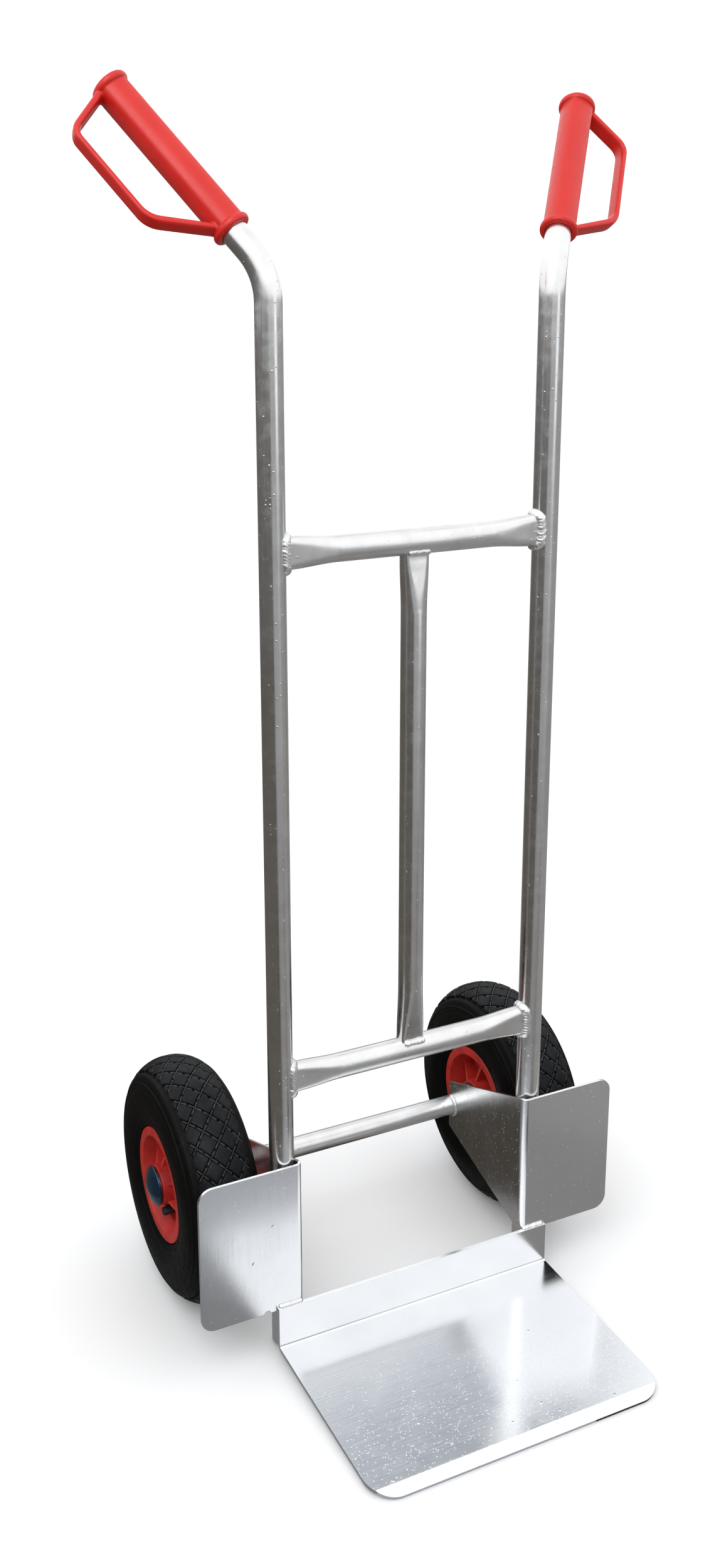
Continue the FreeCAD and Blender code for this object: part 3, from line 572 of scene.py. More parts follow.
# ---- bent sheet plates ----
class Fold:
    """A line through corner points with round bends, and where a distance along it lies."""

    def __init__(self, corners, radii):
        self.path = [np.asarray(p, float) for p in rounded_path(corners, radii, 0.0007)]
        steps = np.linalg.norm(np.diff(np.array(self.path), axis=0), axis=1)
        self.at = np.concatenate([[0.0], np.cumsum(steps)])

    def length(self):
        return self.at[-1]

    def place(self, s):
        """Point and left-hand normal at a distance along the line."""
        k = int(np.clip(np.searchsorted(self.at, s, side="right") - 1, 0, len(self.at) - 2))
        run = self.path[k + 1] - self.path[k]
        run /= np.linalg.norm(run)
        point = self.path[k] + run * (s - self.at[k])
        before = self.path[k] - self.path[k - 1] if k else run
        after = self.path[k + 2] - self.path[k + 1] if k + 2 < len(self.path) else run
        share = (s - self.at[k]) / max(self.at[k + 1] - self.at[k], 1e-9)
        turned = run + before / np.linalg.norm(before) * max(0.0, 1 - 2 * share)
        turned = turned + after / np.linalg.norm(after) * max(0.0, 2 * share - 1)
        turned /= np.linalg.norm(turned)
        return point, np.array([-turned[1], turned[0]])


def bent_plate(build, outline, fold, half_thick, to_world):
    """Sheet cut to an outline of (distance along the fold, width), bent along the fold."""
    flat = bmesh.new()
    verts = [flat.verts.new((s, w, 0.0)) for s, w in outline]
    flat.faces.new(verts)
    for s in fold.at[1:-1]:
        geometry = flat.verts[:] + flat.edges[:] + flat.faces[:]
        bmesh.ops.bisect_plane(flat, geom=geometry, plane_co=(s, 0, 0), plane_no=(1, 0, 0), dist=1e-7)
    flat.verts.index_update()
    points, faces = [], []
    count = len(flat.verts)
    for way in (1, -1):
        for vert in flat.verts:
            (a, b), (na, nb) = fold.place(vert.co.x)
            points.append(to_world(a + na * half_thick * way, b + nb * half_thick * way, vert.co.y))
    for face in flat.faces:
        loop = [v.index for v in face.verts]
        faces.append(tuple(loop))
        faces.append(tuple(count + i for i in reversed(loop)))
    for edge in flat.edges:
        if len(edge.link_faces) == 1:
            a, b = edge.verts[0].index, edge.verts[1].index
            faces.append((a, b, count + b, count + a))
    build.add(points, faces)
    flat.free()


def rounded_outline(corners, radii, step=0.0015):
    """Closed outline with each corner rounded by its radius (0 keeps it sharp)."""
    count = len(corners)
    outline = []
    for i, (corner, radius) in enumerate(zip(corners, radii)):
        if radius <= 0:
            outline.append(tuple(corner))
            continue
        arc = rounded_path([corners[i - 1], corner, corners[(i + 1) % count]], [radius], step)
        outline += [tuple(p) for p in arc[1:-1]]
    return outline


PLATE_THICK = 0.003
PLATE_BEND = 0.0055              # middle of the sheet
WING_X = 0.131
WING_REAR = AXLE.y + 0.003
WING_REAR_TOP = 0.159
WING_REAR_LOW = 0.102
PLATE_CORNER = 0.015
NICK_X = 0.1727
NICK_R = 0.0034


def deflector(name, side):
    """Front panel beside the upright and wing running back to the axle, bent from one sheet."""
    half = PLATE_THICK / 2
    front_y, low_z, high_z = plate_low.y, plate_low.z, plate_high.z
    outer_x = plate_high.x
    # the fold, seen from above on the right-hand side: (x, y) from the outer edge to the wing's rear
    fold = Fold([(outer_x, front_y + half), (WING_X + half, front_y + half), (WING_X + half, WING_REAR)],
                [PLATE_BEND])
    length = fold.length()
    bend_end = length - (WING_REAR - front_y - half - PLATE_BEND)
    notch_r = 0.0111
    axle_s = length - (WING_REAR - AXLE.y)
    corners = [(0.0, low_z), (bend_end, low_z), (length, WING_REAR_LOW)]
    radii = [PLATE_CORNER, 0.0, 0.002]
    outline = rounded_outline(corners + [(length, WING_REAR_TOP), (bend_end, high_z), (0.0, high_z)],
                              radii + [0.002, 0.0, PLATE_CORNER])
    # half-round notch for the axle tube in the rear edge
    rear = [i for i, (s, z) in enumerate(outline) if abs(s - length) < 1e-6 and z < AXLE.z]
    reach = math.acos((length - axle_s) / notch_r)
    arc = []
    steps = 20
    for i in range(steps + 1):
        angle = -reach - (2 * math.pi - 2 * reach) * i / steps
        arc.append((axle_s + notch_r * math.cos(angle), AXLE.z + notch_r * math.sin(angle)))
    outline[rear[-1] + 1:rear[-1] + 1] = arc
    if side < 0:
        nick_s = outer_x - NICK_X
        first = next(i for i, (s, z) in enumerate(outline)
                     if abs(z - low_z) < 1e-6 and s >= PLATE_CORNER - 1e-6)
        nick = [(nick_s - NICK_R * math.cos(math.pi * i / 8), low_z + NICK_R * math.sin(math.pi * i / 8))
                for i in range(9)]
        outline[first + 1:first + 1] = nick
    build = Build()
    bent_plate(build, outline, fold, half, lambda a, b, w: (side * a, b, w))
    build.piece(name + "_deflector_sheet", "frame", "deflector", [name + "_deflector_plate"], bevel=0.0005)


TOE_THICK = 0.004
TOE_BEND = 0.005
TOE_TOP_AT_BEND = 0.0132
TOE_TOP_AT_LIP = 0.0081
TOE_LIP_DEPTH = 0.0125
TOE_LIP_EDGE = 0.0038
TOE_CORNER = 0.028


def toe_plate():
    """Flange, sloping plate and turned-down lip, bent from one sheet with rounded front corners."""
    half = TOE_THICK / 2
    back = toe_high.y - half
    front = toe_low.y
    slope = (TOE_TOP_AT_BEND - TOE_TOP_AT_LIP) / (toe_high.y - TOE_THICK - (front + TOE_LIP_DEPTH))
    lip = math.atan2(TOE_TOP_AT_LIP - TOE_LIP_EDGE, TOE_LIP_DEPTH)
    under = np.array([math.sin(lip), -math.cos(lip)]) * half
    lip_start = (front + TOE_LIP_DEPTH, TOE_TOP_AT_LIP - half)
    corners = [(back, toe_high.z), (back, TOE_TOP_AT_BEND - half - slope * half), lip_start,
               (front + under[0], TOE_LIP_EDGE + under[1])]
    fold = Fold(corners, [TOE_BEND, 0.003])
    length = fold.length()
    wide = toe_high.x
    outline = rounded_outline([(0.0, -wide), (length, -wide), (length, wide), (0.0, wide)],
                              [0.0, TOE_CORNER, TOE_CORNER, 0.0])
    build = Build()
    bent_plate(build, outline, fold, half, lambda a, b, w: (w, a, b))
    build.piece("toe_plate_sheet", "frame", "toe", ["toe_plate"], bevel=0.0005)


# ---- plate welds ----
def straight_bead(build, start, end, normal, radius, pitch, seed, depth=0.18):
    start, end = np.array(start), np.array(end)
    path = [start + (end - start) * t for t in np.linspace(0, 1, 12)]
    bead(build, path, [np.array(normal, float)] * len(path), radius, pitch, False, seed, depth=depth)


def plate_welds():
    back_y = plate_low.y + PLATE_THICK
    behind = Build()
    toe = Build()
    ring = Build()
    for side in SIDES.values():
        for way in (1, -1):
            for k, low in enumerate((plate_low.z + 0.008, plate_high.z - 0.048)):
                x = side * (POST_X + way * 0.0065)
                straight_bead(behind, (x, back_y + 0.0012, low), (x, back_y + 0.0012, low + 0.040),
                              (side * way * 0.8, 1.0, 0.0), 0.0030, 0.0032, 60 + k)
        straight_bead(toe, (side * 0.1328, plate_low.y, toe_high.z),
                      (side * (toe_high.x - 0.001), plate_low.y, toe_high.z),
                      (0.0, -1.0, 1.1), 0.0036, 0.0050, 70 + side, 0.10)
        x, y = side * (POST_X - 0.0075), plate_low.y + 0.002
        straight_bead(toe, (x, y, POST_FOOT + 0.012), (x, y, POST_FOOT + 0.048),
                      (-side, 1.0, 0.0), 0.0036, 0.0036, 80)
        for k, x in enumerate((WING_X - 0.0004, WING_X + PLATE_THICK + 0.0004)):
            path, normals = [], []
            for t in np.linspace(0, math.pi, 24):
                out = np.array([0.0, -math.sin(t), math.cos(t)])
                path.append(np.array([side * x, AXLE.y, AXLE.z]) + out * 0.0116)
                normals.append(out + np.array([side * (1 if k else -1) * 0.9, 0.0, 0.0]))
            bead(ring, path, normals, 0.0028, 0.0030, False, 90 + k)
    behind.piece("deflector_weld_beads", "frame", "weld", ["deflector_welds"])
    toe.piece("toe_plate_weld_beads", "frame", "weld", ["toe_plate_welds"])
    ring.piece("axle_tube_weld_beads", "frame", "weld", ["axle_tube_welds"])


def axle_tube():
    low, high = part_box("axle_tube")
    radius, bore, edge = (high.z - low.z) / 2, 0.0081, 0.0004
    rows = []
    for x, r in ((low.x, bore), (low.x, radius - edge), (low.x + edge, radius), (high.x - edge, radius),
                 (high.x, radius - edge), (high.x, bore)):
        rows.append([(x, AXLE.y + a, AXLE.z + b) for a, b in circle(r)])
    build = Build()
    build.grid(rows, wrap_rows=True)
    build.piece("axle_tube_skin", "frame", "cross_tube", ["axle_tube"], crease=40.0)


# ---- grips ----
HALF_FLAT = 0.0145
HALF_CORNER = 0.0162
COLLAR_R = 0.0182
COLLAR_LENGTH = 0.0075
GUARD_OFFSET = 0.0585
GUARD_HALF_THICK = 0.00285
GUARD_HALF_WIDE = 0.0076


def sleeve_radius(angle):
    """Square section with bulging sides and soft edges."""
    edge = 1.0 - math.sqrt(math.cos(2 * angle) ** 2 + 0.004) + 0.002
    return HALF_FLAT + (HALF_CORNER - HALF_FLAT) * edge


def grip(name, side):
    _, along, _, start = handle(side)
    level = np.array([side * math.cos(SPLAY), -math.sin(SPLAY), 0.0])
    under = np.cross(along, level) * side
    towards = level * math.cos(GUARD_TURN) + under * math.sin(GUARD_TURN)
    across = np.cross(along, towards)
    base = start + along * (GRIP_START - BEND_R * BEND)
    bore_end = HANDLE - (GRIP_START - BEND_R * BEND) + 0.0002
    count = 96

    def ring(s, radius, square=0.0):
        points = []
        for j in range(count):
            angle = 2 * math.pi * j / count
            r = radius + (sleeve_radius(angle) - radius) * square
            points.append(base + along * s + (towards * math.cos(angle) + across * math.sin(angle)) * r)
        return points

    round_r = 0.0032
    quarter = [math.pi / 2 * i / 6 for i in range(7)]

    def collar(low, high):
        """Rings of a collar with rounded edges between two distances along the grip."""
        inner = COLLAR_R - round_r
        rise = [ring(low + round_r - round_r * math.cos(a), inner + round_r * math.sin(a)) for a in quarter]
        fall = [ring(high - round_r + round_r * math.sin(a), inner + round_r * math.cos(a)) for a in quarter]
        return rise + fall

    rows = [ring(bore_end, 0.0126), ring(0.0, 0.0126)] + collar(0.0, COLLAR_LENGTH)
    for s in np.linspace(COLLAR_LENGTH + 0.0006, GRIP_LENGTH - COLLAR_LENGTH - 0.0006, 60):
        rows.append(ring(s, COLLAR_R, 1.0))
    rows += collar(GRIP_LENGTH - COLLAR_LENGTH, GRIP_LENGTH)
    build = Build()
    build.grid(rows, cap_start=True, cap_end=True)

    # knuckle guard: a soft-edged strap between an outer and an inner line
    foot, top = 0.010, GRIP_LENGTH - 0.005
    low, high = 0.048, GRIP_LENGTH - 0.0255
    half = GUARD_HALF_THICK
    outer = [(foot - 0.004, 0.0135), (low - 0.003, GUARD_OFFSET + half), (high + 0.003, GUARD_OFFSET + half),
             (top + 0.0025, 0.0135)]
    inner = [(foot + 0.004, 0.0135), (low + 0.002, GUARD_OFFSET - half), (high - 0.0015, GUARD_OFFSET - half),
             (top - 0.005, 0.0135)]

    def stations(points, radii):
        """Points along a rounded line, with set numbers of them on each run and each bend."""
        fold = Fold(points, radii)
        knots, behind = [0.0], 0
        for k, radius in enumerate(radii):
            before, here, after = (np.array(points[k + i]) for i in range(3))
            back = (before - here) / np.linalg.norm(before - here)
            ahead = (after - here) / np.linalg.norm(after - here)
            half_turn = math.acos(back.dot(ahead)) / 2
            reach = radius / math.tan(half_turn)
            knots.append(knots[-1] + (np.linalg.norm(here - before) - reach - behind))
            knots.append(knots[-1] + radius * (math.pi - 2 * half_turn))
            behind = reach
        knots.append(fold.length())
        places = []
        for a, b, n in zip(knots, knots[1:], (18, 22, 30, 22, 18)):
            places += [a + (b - a) * i / n for i in range(n)]
        return [fold.place(min(s, fold.length() - 1e-6))[0] for s in places + [fold.length() - 1e-6]]

    strap = []
    for o, i in zip(stations(outer, [0.026, 0.017]), stations(inner, [0.021, 0.012])):
        middle, reach = (o + i) / 2, (o - i) / 2
        ring_points = []
        for j in range(32):
            angle = 2 * math.pi * j / 32
            c, d = math.cos(angle), math.sin(angle)
            a = math.copysign(abs(c) ** 0.55, c)
            b = math.copysign(abs(d) ** 0.55, d)
            s, r = middle + reach * a
            ring_points.append(base + along * s + towards * r + across * (b * GUARD_HALF_WIDE))
        strap.append(ring_points)
    build.grid(strap, cap_start=True, cap_end=True)
    build.piece(name + "_grip_moulding", "frame", "grip", [name + "_grip"], melt=0.0007)


# ---- wheels ----
def arc_through(a, b, c, count):
    """Points on the circle through a, b and c, from a to c."""
    a, b, c = (np.array(p, float) for p in (a, b, c))
    d = 2 * (a[0] * (b[1] - c[1]) + b[0] * (c[1] - a[1]) + c[0] * (a[1] - b[1]))
    squares = [p.dot(p) for p in (a, b, c)]
    centre = np.array(
        [(squares[0] * (b[1] - c[1]) + squares[1] * (c[1] - a[1]) + squares[2] * (a[1] - b[1])) / d,
         (squares[0] * (c[0] - b[0]) + squares[1] * (a[0] - c[0]) + squares[2] * (b[0] - a[0])) / d])
    radius = np.linalg.norm(a - centre)
    start, end = (math.atan2(p[1] - centre[1], p[0] - centre[0]) for p in (a, c))
    turn = (end - start + math.pi) % (2 * math.pi) - math.pi
    angles = [start + turn * i / count for i in range(count + 1)]
    return [centre + radius * np.array([math.cos(angle), math.sin(angle)]) for angle in angles]


def tyre_outline():
    """Half of the outer profile, from the crown to the bead: (out, radius) in metres."""
    crown = arc_through((0.0, 0.130), (0.020, 0.126), (0.0355, 0.114), 60)
    wall = arc_through((0.0355, 0.114), (0.0415, 0.088), (0.0358, 0.0626), 70)
    bead_run = rounded_path([wall[-1], (0.0324, 0.0618), (0.0310, 0.0506)], [0.0012], 0.0005)
    return np.array(crown + wall[1:] + [np.array(p) for p in bead_run[1:]])


OUTLINE = tyre_outline()
OUTLINE_AT = np.concatenate([[0.0], np.cumsum(np.linalg.norm(np.diff(OUTLINE, axis=0), axis=1))])
OUTLINE_RUN = np.gradient(OUTLINE, OUTLINE_AT, axis=0)
TREADS = 29
TREAD_DEPTH = 0.0027
TREAD_EDGE = 0.0322
HALF_GROOVE = 0.0018


def on_tyre(side, angle, across, depth):
    """Point at an angle round the axle and a signed distance from the crown line, sunk by depth."""
    at = min(abs(across), OUTLINE_AT[-1])
    out = float(np.interp(at, OUTLINE_AT, OUTLINE[:, 0]))
    radius = float(np.interp(at, OUTLINE_AT, OUTLINE[:, 1]))
    run = [float(np.interp(at, OUTLINE_AT, OUTLINE_RUN[:, k])) for k in range(2)]
    size = math.hypot(*run)
    out += depth * run[1] / size
    radius -= depth * run[0] / size
    x = WHEEL_X + math.copysign(out, across) if across else WHEEL_X + out
    return (side * x, AXLE.y + radius * math.sin(angle), AXLE.z + radius * math.cos(angle))


def axle_ring(side, out, radius, segments):
    """Points round the axle at a distance out from the wheel's middle plane."""
    return [(side * (WHEEL_X + out), AXLE.y + radius * math.sin(2 * math.pi * i / segments),
             AXLE.z + radius * math.cos(2 * math.pi * i / segments)) for i in range(segments)]


def ridge(at, place, width, height):
    return height * math.exp(-((at - place) / width) ** 2)


def tyre_casing(name, side):
    wall_ring = float(np.interp(-0.1085, -OUTLINE[:, 1], OUTLINE_AT))
    low_ring = float(np.interp(-0.0690, -OUTLINE[:, 1], OUTLINE_AT))
    places = set(np.linspace(0.0, OUTLINE_AT[-1], 90))
    for ring_at in (wall_ring, low_ring, wall_ring + 0.006):
        places |= set(np.linspace(ring_at - 0.0018, ring_at + 0.0018, 13))
    places |= set(np.linspace(TREAD_EDGE - 0.001, TREAD_EDGE + 0.007, 9))
    places = sorted(places)

    def depth(at):
        t = min(1.0, max(0.0, (at - TREAD_EDGE) / 0.006))
        sunk = TREAD_DEPTH * (1 - t * t * (3 - 2 * t))
        return (sunk - ridge(at, wall_ring, 0.0006, 0.0008) - ridge(at, low_ring, 0.0007, 0.0007)
                + ridge(at, wall_ring + 0.006, 0.0005, 0.0004))

    segments = 160
    rows = []
    line = [(-at, depth(at)) for at in reversed(places[1:])] + [(at, depth(at)) for at in places]
    for across, sunk in line:
        rows.append([on_tyre(side, 2 * math.pi * i / segments, across if across else 1e-9, sunk)
                     for i in range(segments)])
    inner = arc_through((0.0355, 0.086), (0.0340, 0.0990), (0.029, 0.109), 8)
    half = [(0.024, 0.0506), (0.0255, 0.060)] + [tuple(p) for p in inner]
    crown = [tuple(p) for p in arc_through((0.029, 0.109), (0.0, 0.1205), (-0.029, 0.109), 16)][1:-1]
    inside = half + crown + [(-x, r) for x, r in reversed(half)]
    rows += [axle_ring(side, out, radius, segments) for out, radius in inside]
    build = Build()
    build.grid(rows, wrap_rows=True)
    build.piece(name + "_tyre_casing", name + "_wheel", "tyre", [name + "_tyre"], crease=45.0)


def raised(build, side, polygon, top, foot, rounding):
    """A raised block on the tyre over a polygon of (distance round, distance across)."""
    outline = rounded_outline(polygon, [rounding] * len(polygon), 0.0005)
    edge = filled_in(outline + [outline[0]], 0.0035)[:-1]
    middle = np.mean(np.array(polygon), axis=0)
    reach = min(np.linalg.norm(np.array(p) - middle) for p in edge)
    soft = min(0.0004, reach * 0.25)
    rows = []
    for inset, sunk in ((-0.0003, foot), (0.0, top + soft), (soft * 0.4, top + soft * 0.25), (soft, top),
                        (reach * 0.5, top)):
        keep = 1 - inset / reach
        rows.append([on_tyre(side, (middle[0] + (p[0] - middle[0]) * keep) / WHEEL_R,
                             middle[1] + (p[1] - middle[1]) * keep, sunk) for p in edge])
    build.grid(rows, cap_start=True, cap_end=True)


def tyre_tread(name, side):
    """Diamond blocks, trimmed ones along both edges, and wedge ribs in the grooves at each crossing."""
    blocks, ribs = Build(), Build()
    pitch = 2 * math.pi * WHEEL_R / TREADS
    half_round, half_across = pitch / 2, 0.0123
    reach = half_round * half_across / math.hypot(half_round, half_across)
    keep = (reach - HALF_GROOVE) / reach
    a, b = half_round * keep, half_across * keep
    slant = np.array([half_round, half_across]) / math.hypot(half_round, half_across)
    foot = TREAD_DEPTH + 0.0004
    cut = TREAD_EDGE - 0.0004
    for i in range(TREADS):
        for column in range(-3, 4):
            u = pitch * (i + (0.5 if column % 2 else 0.0))
            v = column * half_across
            if abs(v) + b < cut:
                shape = [(u - a, v), (u, v - b), (u + a, v), (u, v + b)]
            else:
                way = 1 if v > 0 else -1
                inner = v - way * b
                trimmed = a * (1 - abs(way * cut - v) / b)
                shape = [(u, inner), (u + trimmed, way * cut), (u - trimmed, way * cut)]
                if abs(v) < cut:
                    shape = [(u, inner), (u + a, v), (u + trimmed, way * cut), (u - trimmed, way * cut),
                             (u - a, v)]
            raised(blocks, side, shape, 0.0, foot, 0.0007)
        for column in range(-2, 3):
            crossing = np.array([pitch * (i + (0.0 if column % 2 else 0.5)), column * half_across])
            for du in (-1, 1):
                for dv in (-1, 1):
                    along = slant * (du, dv)
                    aside = np.array([-along[1], along[0]])
                    if abs(crossing[1] + along[1] * 0.0075) > cut:
                        continue
                    shape = [tuple(crossing + along * s + aside * w) for s, w in
                             ((0.0008, -0.0004), (0.0074, -0.0011), (0.0074, 0.0011), (0.0008, 0.0004))]
                    raised(ribs, side, shape, 0.0007, foot, 0.0)
    # blocks and ribs get the lighter rubbers: painted light on the block tops and a painted highlight on the
    # ribs
    blocks.piece(name + "_tyre_tread", name + "_wheel", "tread", crease=50.0)
    ribs.piece(name + "_tyre_ribs", name + "_wheel", "ribs", crease=50.0)


def turned(build, side, line, segments=128):
    """Turn a closed outline of (out, radius) about the axle."""
    build.grid([axle_ring(side, out, radius, segments) for out, radius in line], wrap_rows=True)


RIM_R = 0.0616
RIM_FACE = 0.0360
HUB_HALF = 0.0375
HUB_R = 0.0210
BARREL_R = 0.0500
RIM_RIBS = 6
BARREL_WALL = 0.004
BUSH_SEAT_R = 0.01205
SPLIT = 0.00002                  # half of the gap between the rim's two halves
WEB_OUTER, WEB_INNER = 0.0115, 0.0075
DISH_OUT = 0.0280
TYRE_SEAT = 0.0314


def rim_half(name, side, facing, label):
    """Moulded half rim: rounded flange, barrel, recessed web and half of the hub, with tapered ribs."""
    barrel_in = BARREL_R - BARREL_WALL
    outline = rounded_outline(
        [(SPLIT, BUSH_SEAT_R), (HUB_HALF, BUSH_SEAT_R), (HUB_HALF, HUB_R), (WEB_OUTER, HUB_R + 0.0020),
         (WEB_OUTER, barrel_in - 0.0020), (DISH_OUT, barrel_in + 0.0030), (RIM_FACE, barrel_in + 0.0055),
         (RIM_FACE, RIM_R), (RIM_FACE - 0.0035, RIM_R - 0.0006), (TYRE_SEAT, BARREL_R + 0.0003),
         (SPLIT, BARREL_R + 0.0003), (SPLIT, barrel_in), (WEB_INNER, barrel_in), (WEB_INNER, HUB_R),
         (SPLIT, HUB_R)],
        [0, 0.0006, 0.0012, 0.0025, 0.0030, 0.0040, 0.0012, 0.0014, 0.0006, 0.0010, 0, 0, 0.001, 0.001, 0],
        0.0006)
    build = Build()
    turned(build, side, [(facing * out, radius) for out, radius in outline])
    for i in range(RIM_RIBS):
        angle = 2 * math.pi * i / RIM_RIBS
        out_dir = np.array([side * facing, 0.0, 0.0])
        radial = np.array([0.0, math.sin(angle), math.cos(angle)])
        across = np.array([0.0, math.cos(angle), -math.sin(angle)])
        centre = np.array([side * WHEEL_X, AXLE.y, AXLE.z])
        shape = [(0.0100, HUB_R - 0.001), (0.0330, HUB_R - 0.001), (0.0215, barrel_in + 0.0015),
                 (0.0100, barrel_in + 0.0015)]
        points = []
        for half in (-0.0022, 0.0022):
            for out, radius in shape:
                thin = 1.0 - 0.25 * (out - 0.010) / 0.023
                points.append(centre + out_dir * out + radial * radius + across * half * thin)
        build.add(points, [(3, 2, 1, 0), (4, 5, 6, 7), (0, 1, 5, 4), (1, 2, 6, 5), (2, 3, 7, 6),
                           (3, 0, 4, 7)])
    build.piece(f"{name}_rim_{label}_shell", name + "_wheel", "rim", [f"{name}_rim_{label}_half"],
                bevel=0.0006)


def hub_cap(name, side):
    """Pressed dome with a rolled edge."""
    low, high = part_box(name + "_hub_cap")
    radius, height = (high.z - low.z) / 2, high.x - low.x
    rim_x = min(abs(low.x), abs(high.x))
    sheet, skirt, apex = 0.0008, 0.0014, height
    rise = apex - skirt
    ball = (rise * rise + radius * radius) / (2 * rise)

    def dome(offset, count, reach):
        rows = []
        for i in range(count + 1):
            r = reach * (1 - i / count)
            rows.append((apex - ball + math.sqrt((ball - offset) ** 2 - r * r), max(r, 0.0002)))
        return rows

    outer = [(0.0, radius - 0.0006), (0.0003, radius - 0.0001), (0.0007, radius), (skirt, radius - 0.0001)]
    outer += dome(0.0, 24, radius - 0.0006)
    inner = list(reversed(dome(sheet, 24, radius - 0.0014)))
    line = outer + inner + [(sheet, radius - 0.0014)]
    build = Build()
    rows = [[(side * (rim_x + out), AXLE.y + a, AXLE.z + b) for a, b in circle(r, 96)] for out, r in line]
    build.grid(rows, wrap_rows=True)
    build.piece(name + "_hub_cap_dome", "frame", "cap", [name + "_hub_cap"], crease=50.0)


VALVE_TURN = math.radians(18.0)
VALVE_OFFSET = 0.029
VALVE_DEPTH = 0.014


def valve(name, side):
    """Rubber stem bent to point away from the truck, with rings on it, and a fluted dust cap."""
    radial = np.array([0.0, -math.sin(VALVE_TURN), -math.cos(VALVE_TURN)])
    out = np.array([float(side), 0.0, 0.0])
    base = np.array([side * (WHEEL_X + VALVE_DEPTH), AXLE.y, AXLE.z])
    path = rounded_path([base + radial * (BARREL_R + 0.001), base + radial * VALVE_OFFSET,
                         base + radial * VALVE_OFFSET + out * 0.011], [0.0059], 0.0006)
    path = filled_in(path, 0.0008)
    count = len(path)

    def section(i):
        swell = 0.0003 * math.sin(i * 1.1) if i < count * 0.45 else 0.0
        return circle(0.0038 + swell + 0.0012 * max(0.0, 1 - i / (count * 0.15)), 36)

    build = Build()
    build.grid(sweep_rows(path, section, out), cap_start=True, cap_end=True)
    build.piece(name + "_valve_rubber", name + "_wheel", "valve", [name + "_valve_stem"], crease=50.0)

    start = base + radial * VALVE_OFFSET + out * 0.011
    across = np.cross(out, radial)
    rows = []
    for s, r, flute in ((0.0, 0.0034, 0), (0.0, 0.0043, 0), (0.0004, 0.0047, 1), (0.0016, 0.0048, 1),
                        (0.0085, 0.0046, 1), (0.0097, 0.0042, 1), (0.0103, 0.0036, 0), (0.0108, 0.0024, 0),
                        (0.0110, 0.0010, 0)):
        ring = []
        for j in range(72):
            angle = 2 * math.pi * j / 72
            radius = r - flute * 0.00035 * (0.5 - 0.5 * math.cos(angle * 12))
            ring.append(start + out * s + (radial * math.cos(angle) + across * math.sin(angle)) * radius)
        rows.append(ring)
    build = Build()
    build.grid(rows, cap_start=True, cap_end=True)
    build.piece(name + "_valve_dust_cap", name + "_wheel", "valve", [name + "_valve_cap"], crease=50.0)


# ---- build every piece ----
for name, height in bar_z.items():
    crossbar(name, height)
for name, seed in (("upper_crossbar", 11), ("lower_crossbar", 23)):
    crossbar_welds(name, bar_z[name], seed)
strut()
strut_welds()
toe_plate()
plate_welds()
axle_tube()
for name, side in SIDES.items():
    upright(name, side)
    deflector(name, side)
    grip(name, side)
    tyre_casing(name, side)
    tyre_tread(name, side)
    rim_half(name, side, 1, "outer")
    rim_half(name, side, -1, "inner")
    hub_cap(name, side)
    valve(name, side)

KEPT = {"axle_rod": "steel", "inner_washers": "steel", "outer_washers": "steel",
        "left_inner_tube": "valve", "right_inner_tube": "valve",
        "left_hub_bushes": "nylon", "right_hub_bushes": "nylon"}
for node, material in KEPT.items():
    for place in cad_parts[node].material_slots:
        place.material = MATERIALS[material]


# ---- floor, light and camera ----
def staged(name, points, faces, material, unseen_by):
    """A surface around the truck that some kinds of ray don't see."""
    mesh = bpy.data.meshes.new(name)
    mesh.from_pydata(points, [], faces)
    mesh.materials.append(material)
    obj = bpy.data.objects.new(name, mesh)
    bpy.context.scene.collection.objects.link(obj)
    for ray in unseen_by:
        setattr(obj, "visible_" + ray, False)


def floor_paint():
    n = Nodes("pale_floor")
    n.set(Roughness=0.9)
    n.feed(Base_Color=n.ramp(n.noise(3.0, 2.0), (0.0, (0.90, 0.90, 0.90)), (1.0, (0.92, 0.92, 0.92))))
    return n.material


def glow_paint(name, shade):
    """Even glow that the camera doesn't see."""
    n = Nodes(name)
    n.set(Roughness=1.0, Base_Color=(0.0, 0.0, 0.0, 1.0), Specular_IOR_Level=0.0,
          Emission_Color=(*shade, 1.0), Emission_Strength=1.0)
    return n.material


GROUND_Z = -0.002
# outer edges of the ground rings; the wall stands on the last one
FOOT_REACH, NEAR_REACH, FAR_REACH = 0.42, 1.5, 3.0


def surroundings(name, start, end, wall_top, shades):
    """A sector of ground and far wall, between two headings in degrees right of straight ahead."""
    rings = [(0.01, GROUND_Z), (FOOT_REACH, GROUND_Z), (NEAR_REACH, GROUND_Z), (FAR_REACH, GROUND_Z),
             (FAR_REACH, wall_top)]
    steps = max(2, int((end - start) / 6))
    for k, (label, shade) in enumerate(zip(("foot", "near", "far", "wall"), shades)):
        points, faces = [], []
        for i in range(steps + 1):
            heading = math.radians(start + (end - start) * i / steps)
            for radius, z in rings[k:k + 2]:
                points.append((radius * math.sin(heading), POST_Y - radius * math.cos(heading), z))
        for i in range(steps):
            faces.append((2 * i, 2 * i + 1, 2 * i + 3, 2 * i + 2))
        unseen_by = ("camera", "shadow", "diffuse") if label == "wall" else ("camera", "shadow")
        staged(f"{name}_{label}", points, faces, glow_paint(f"{name}_{label}", shade), unseen_by)


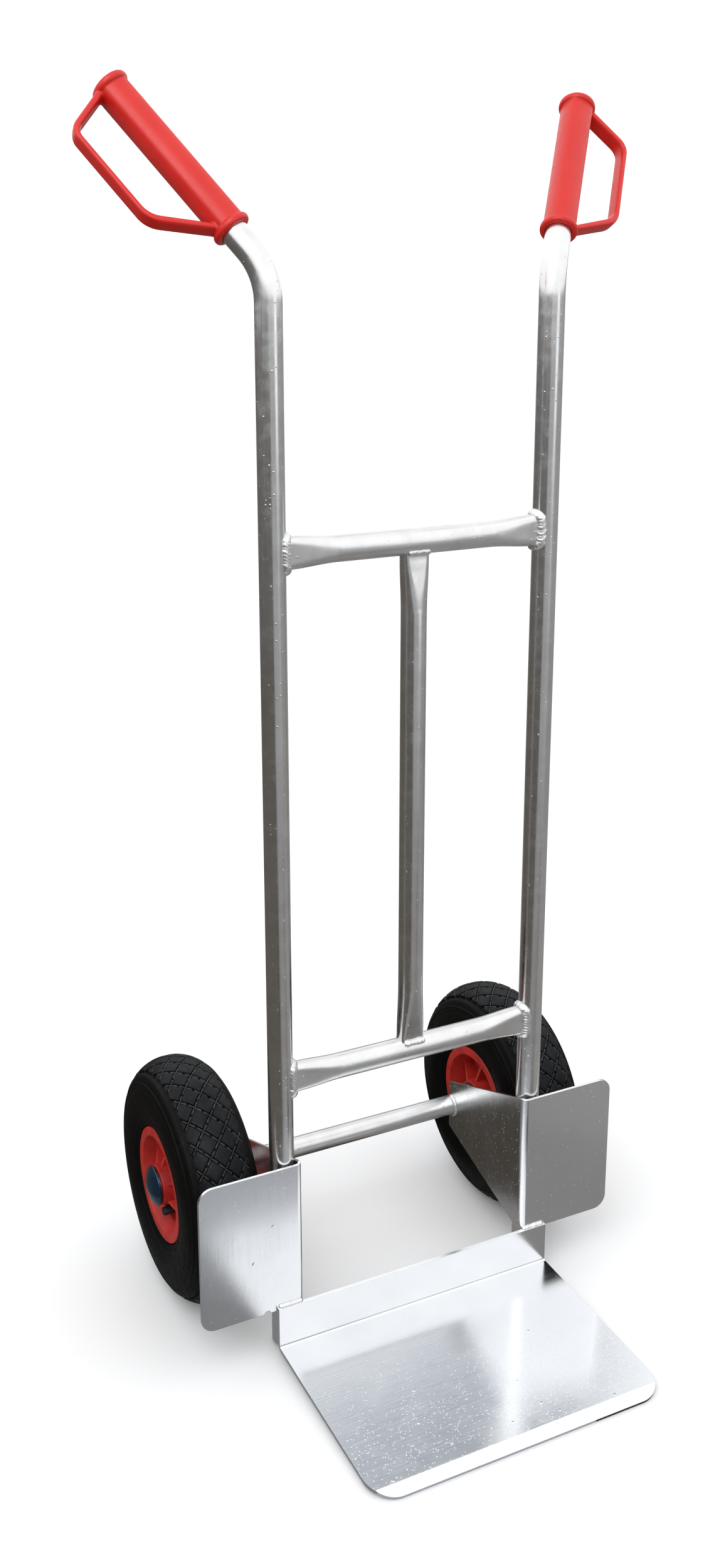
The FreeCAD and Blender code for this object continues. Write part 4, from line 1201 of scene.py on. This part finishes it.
staged("floor", [(-30, -30, 0), (30, -30, 0), (30, 30, 0), (-30, 30, 0)], [(0, 1, 2, 3)], floor_paint(),
       ("glossy", "diffuse"))
BROWN = (0.105, 0.095, 0.083)
GREY = (0.28, 0.275, 0.27)
DUSK = (0.050, 0.044, 0.036)
WET = (0.37, 0.385, 0.41)
SECTORS = {
    "behind_left": (-180, -150, 1.2, (DUSK, BROWN, BROWN, (0.12, 0.115, 0.11))),
    "left": (-150, -36, 1.2, ((0.215, 0.22, 0.225), BROWN, BROWN, (0.12, 0.115, 0.11))),
    "ahead": (-36, -24, 1.2, (WET, (0.075, 0.066, 0.066), (0.08, 0.075, 0.075), (0.10, 0.10, 0.10))),
    "beside": (-24, 19, 1.2, (WET, (0.25, 0.245, 0.24), (0.32, 0.32, 0.33), (0.34, 0.35, 0.36))),
    "open": (19, 40, 0.6, (DUSK, (0.21, 0.205, 0.20), (0.34, 0.34, 0.34), (0.42, 0.42, 0.43))),
    "right": (40, 150, 1.2, ((0.235, 0.23, 0.225), GREY, (0.26, 0.26, 0.255), (0.30, 0.30, 0.30))),
    "behind_right": (150, 180, 1.2, (DUSK, GREY, (0.26, 0.26, 0.255), (0.30, 0.30, 0.30))),
}
for name, (start, end, wall_top, shades) in SECTORS.items():
    surroundings(name, start, end, wall_top, shades)


def skyward(heading, height):
    """A far point at a heading right of straight back and a height above level, both in degrees."""
    turn, rise = math.radians(heading), math.radians(height)
    return Vector((math.sin(turn) * math.cos(rise), math.cos(turn) * math.cos(rise), math.sin(rise))) * 30.0


# a grey eave high behind the truck, seen only as a soft patch in the toe plate
corners = [skyward(20.0, 45.3), skyward(41.0, 37.8), skyward(38.8, 62.0), skyward(20.0, 62.0)]
staged("eave", corners, [(0, 1, 2, 3)], glow_paint("eave", (0.33, 0.370, 0.425)),
       ("camera", "diffuse", "shadow"))

# a large soft lamp high at the front left
lamp = bpy.data.lights.new("key", "AREA")
lamp.shape = "RECTANGLE"
lamp.size = lamp.size_y = 2.0
lamp.energy = 30.0
key = bpy.data.objects.new("key", lamp)
bpy.context.scene.collection.objects.link(key)
key.location = (-1.6, -1.6, 3.2)
key.rotation_euler = (Vector((0.0, 0.0, 0.6)) - key.location).to_track_quat("-Z", "Y").to_euler()

world = bpy.data.worlds.new("studio")
bpy.context.scene.world = world
world.use_nodes = True
world.node_tree.nodes["Background"].inputs["Color"].default_value = (0.98, 0.99, 1.0, 1.0)
world.node_tree.nodes["Background"].inputs["Strength"].default_value = 1.16
bpy.context.scene.view_settings.view_transform = "Standard"

# the camera stands at the front left, a little below the handles, looking down on the toe plate
CAMERA_AT = Vector((-0.6737, -1.1915, 1.0604))
TURN, TILT, ROLL = math.radians(24.3), math.radians(14.24), math.radians(-0.85)
forward = Vector((math.sin(TURN) * math.cos(TILT), math.cos(TURN) * math.cos(TILT), -math.sin(TILT)))
level = forward.cross(Vector((0, 0, 1))).normalized()
upward = level.cross(forward)
right = level * math.cos(ROLL) + upward * math.sin(ROLL)
above = upward * math.cos(ROLL) - level * math.sin(ROLL)
camera = bpy.data.cameras.new("camera")
camera.lens = 33.3
camera.sensor_width = 36.0
camera.shift_x = 0.054
camera.shift_y = -0.080
eye = bpy.data.objects.new("camera", camera)
bpy.context.scene.collection.objects.link(eye)
eye.matrix_world = Matrix.Translation(CAMERA_AT) @ Matrix((right, above, -forward)).transposed().to_4x4()
bpy.context.scene.camera = eye
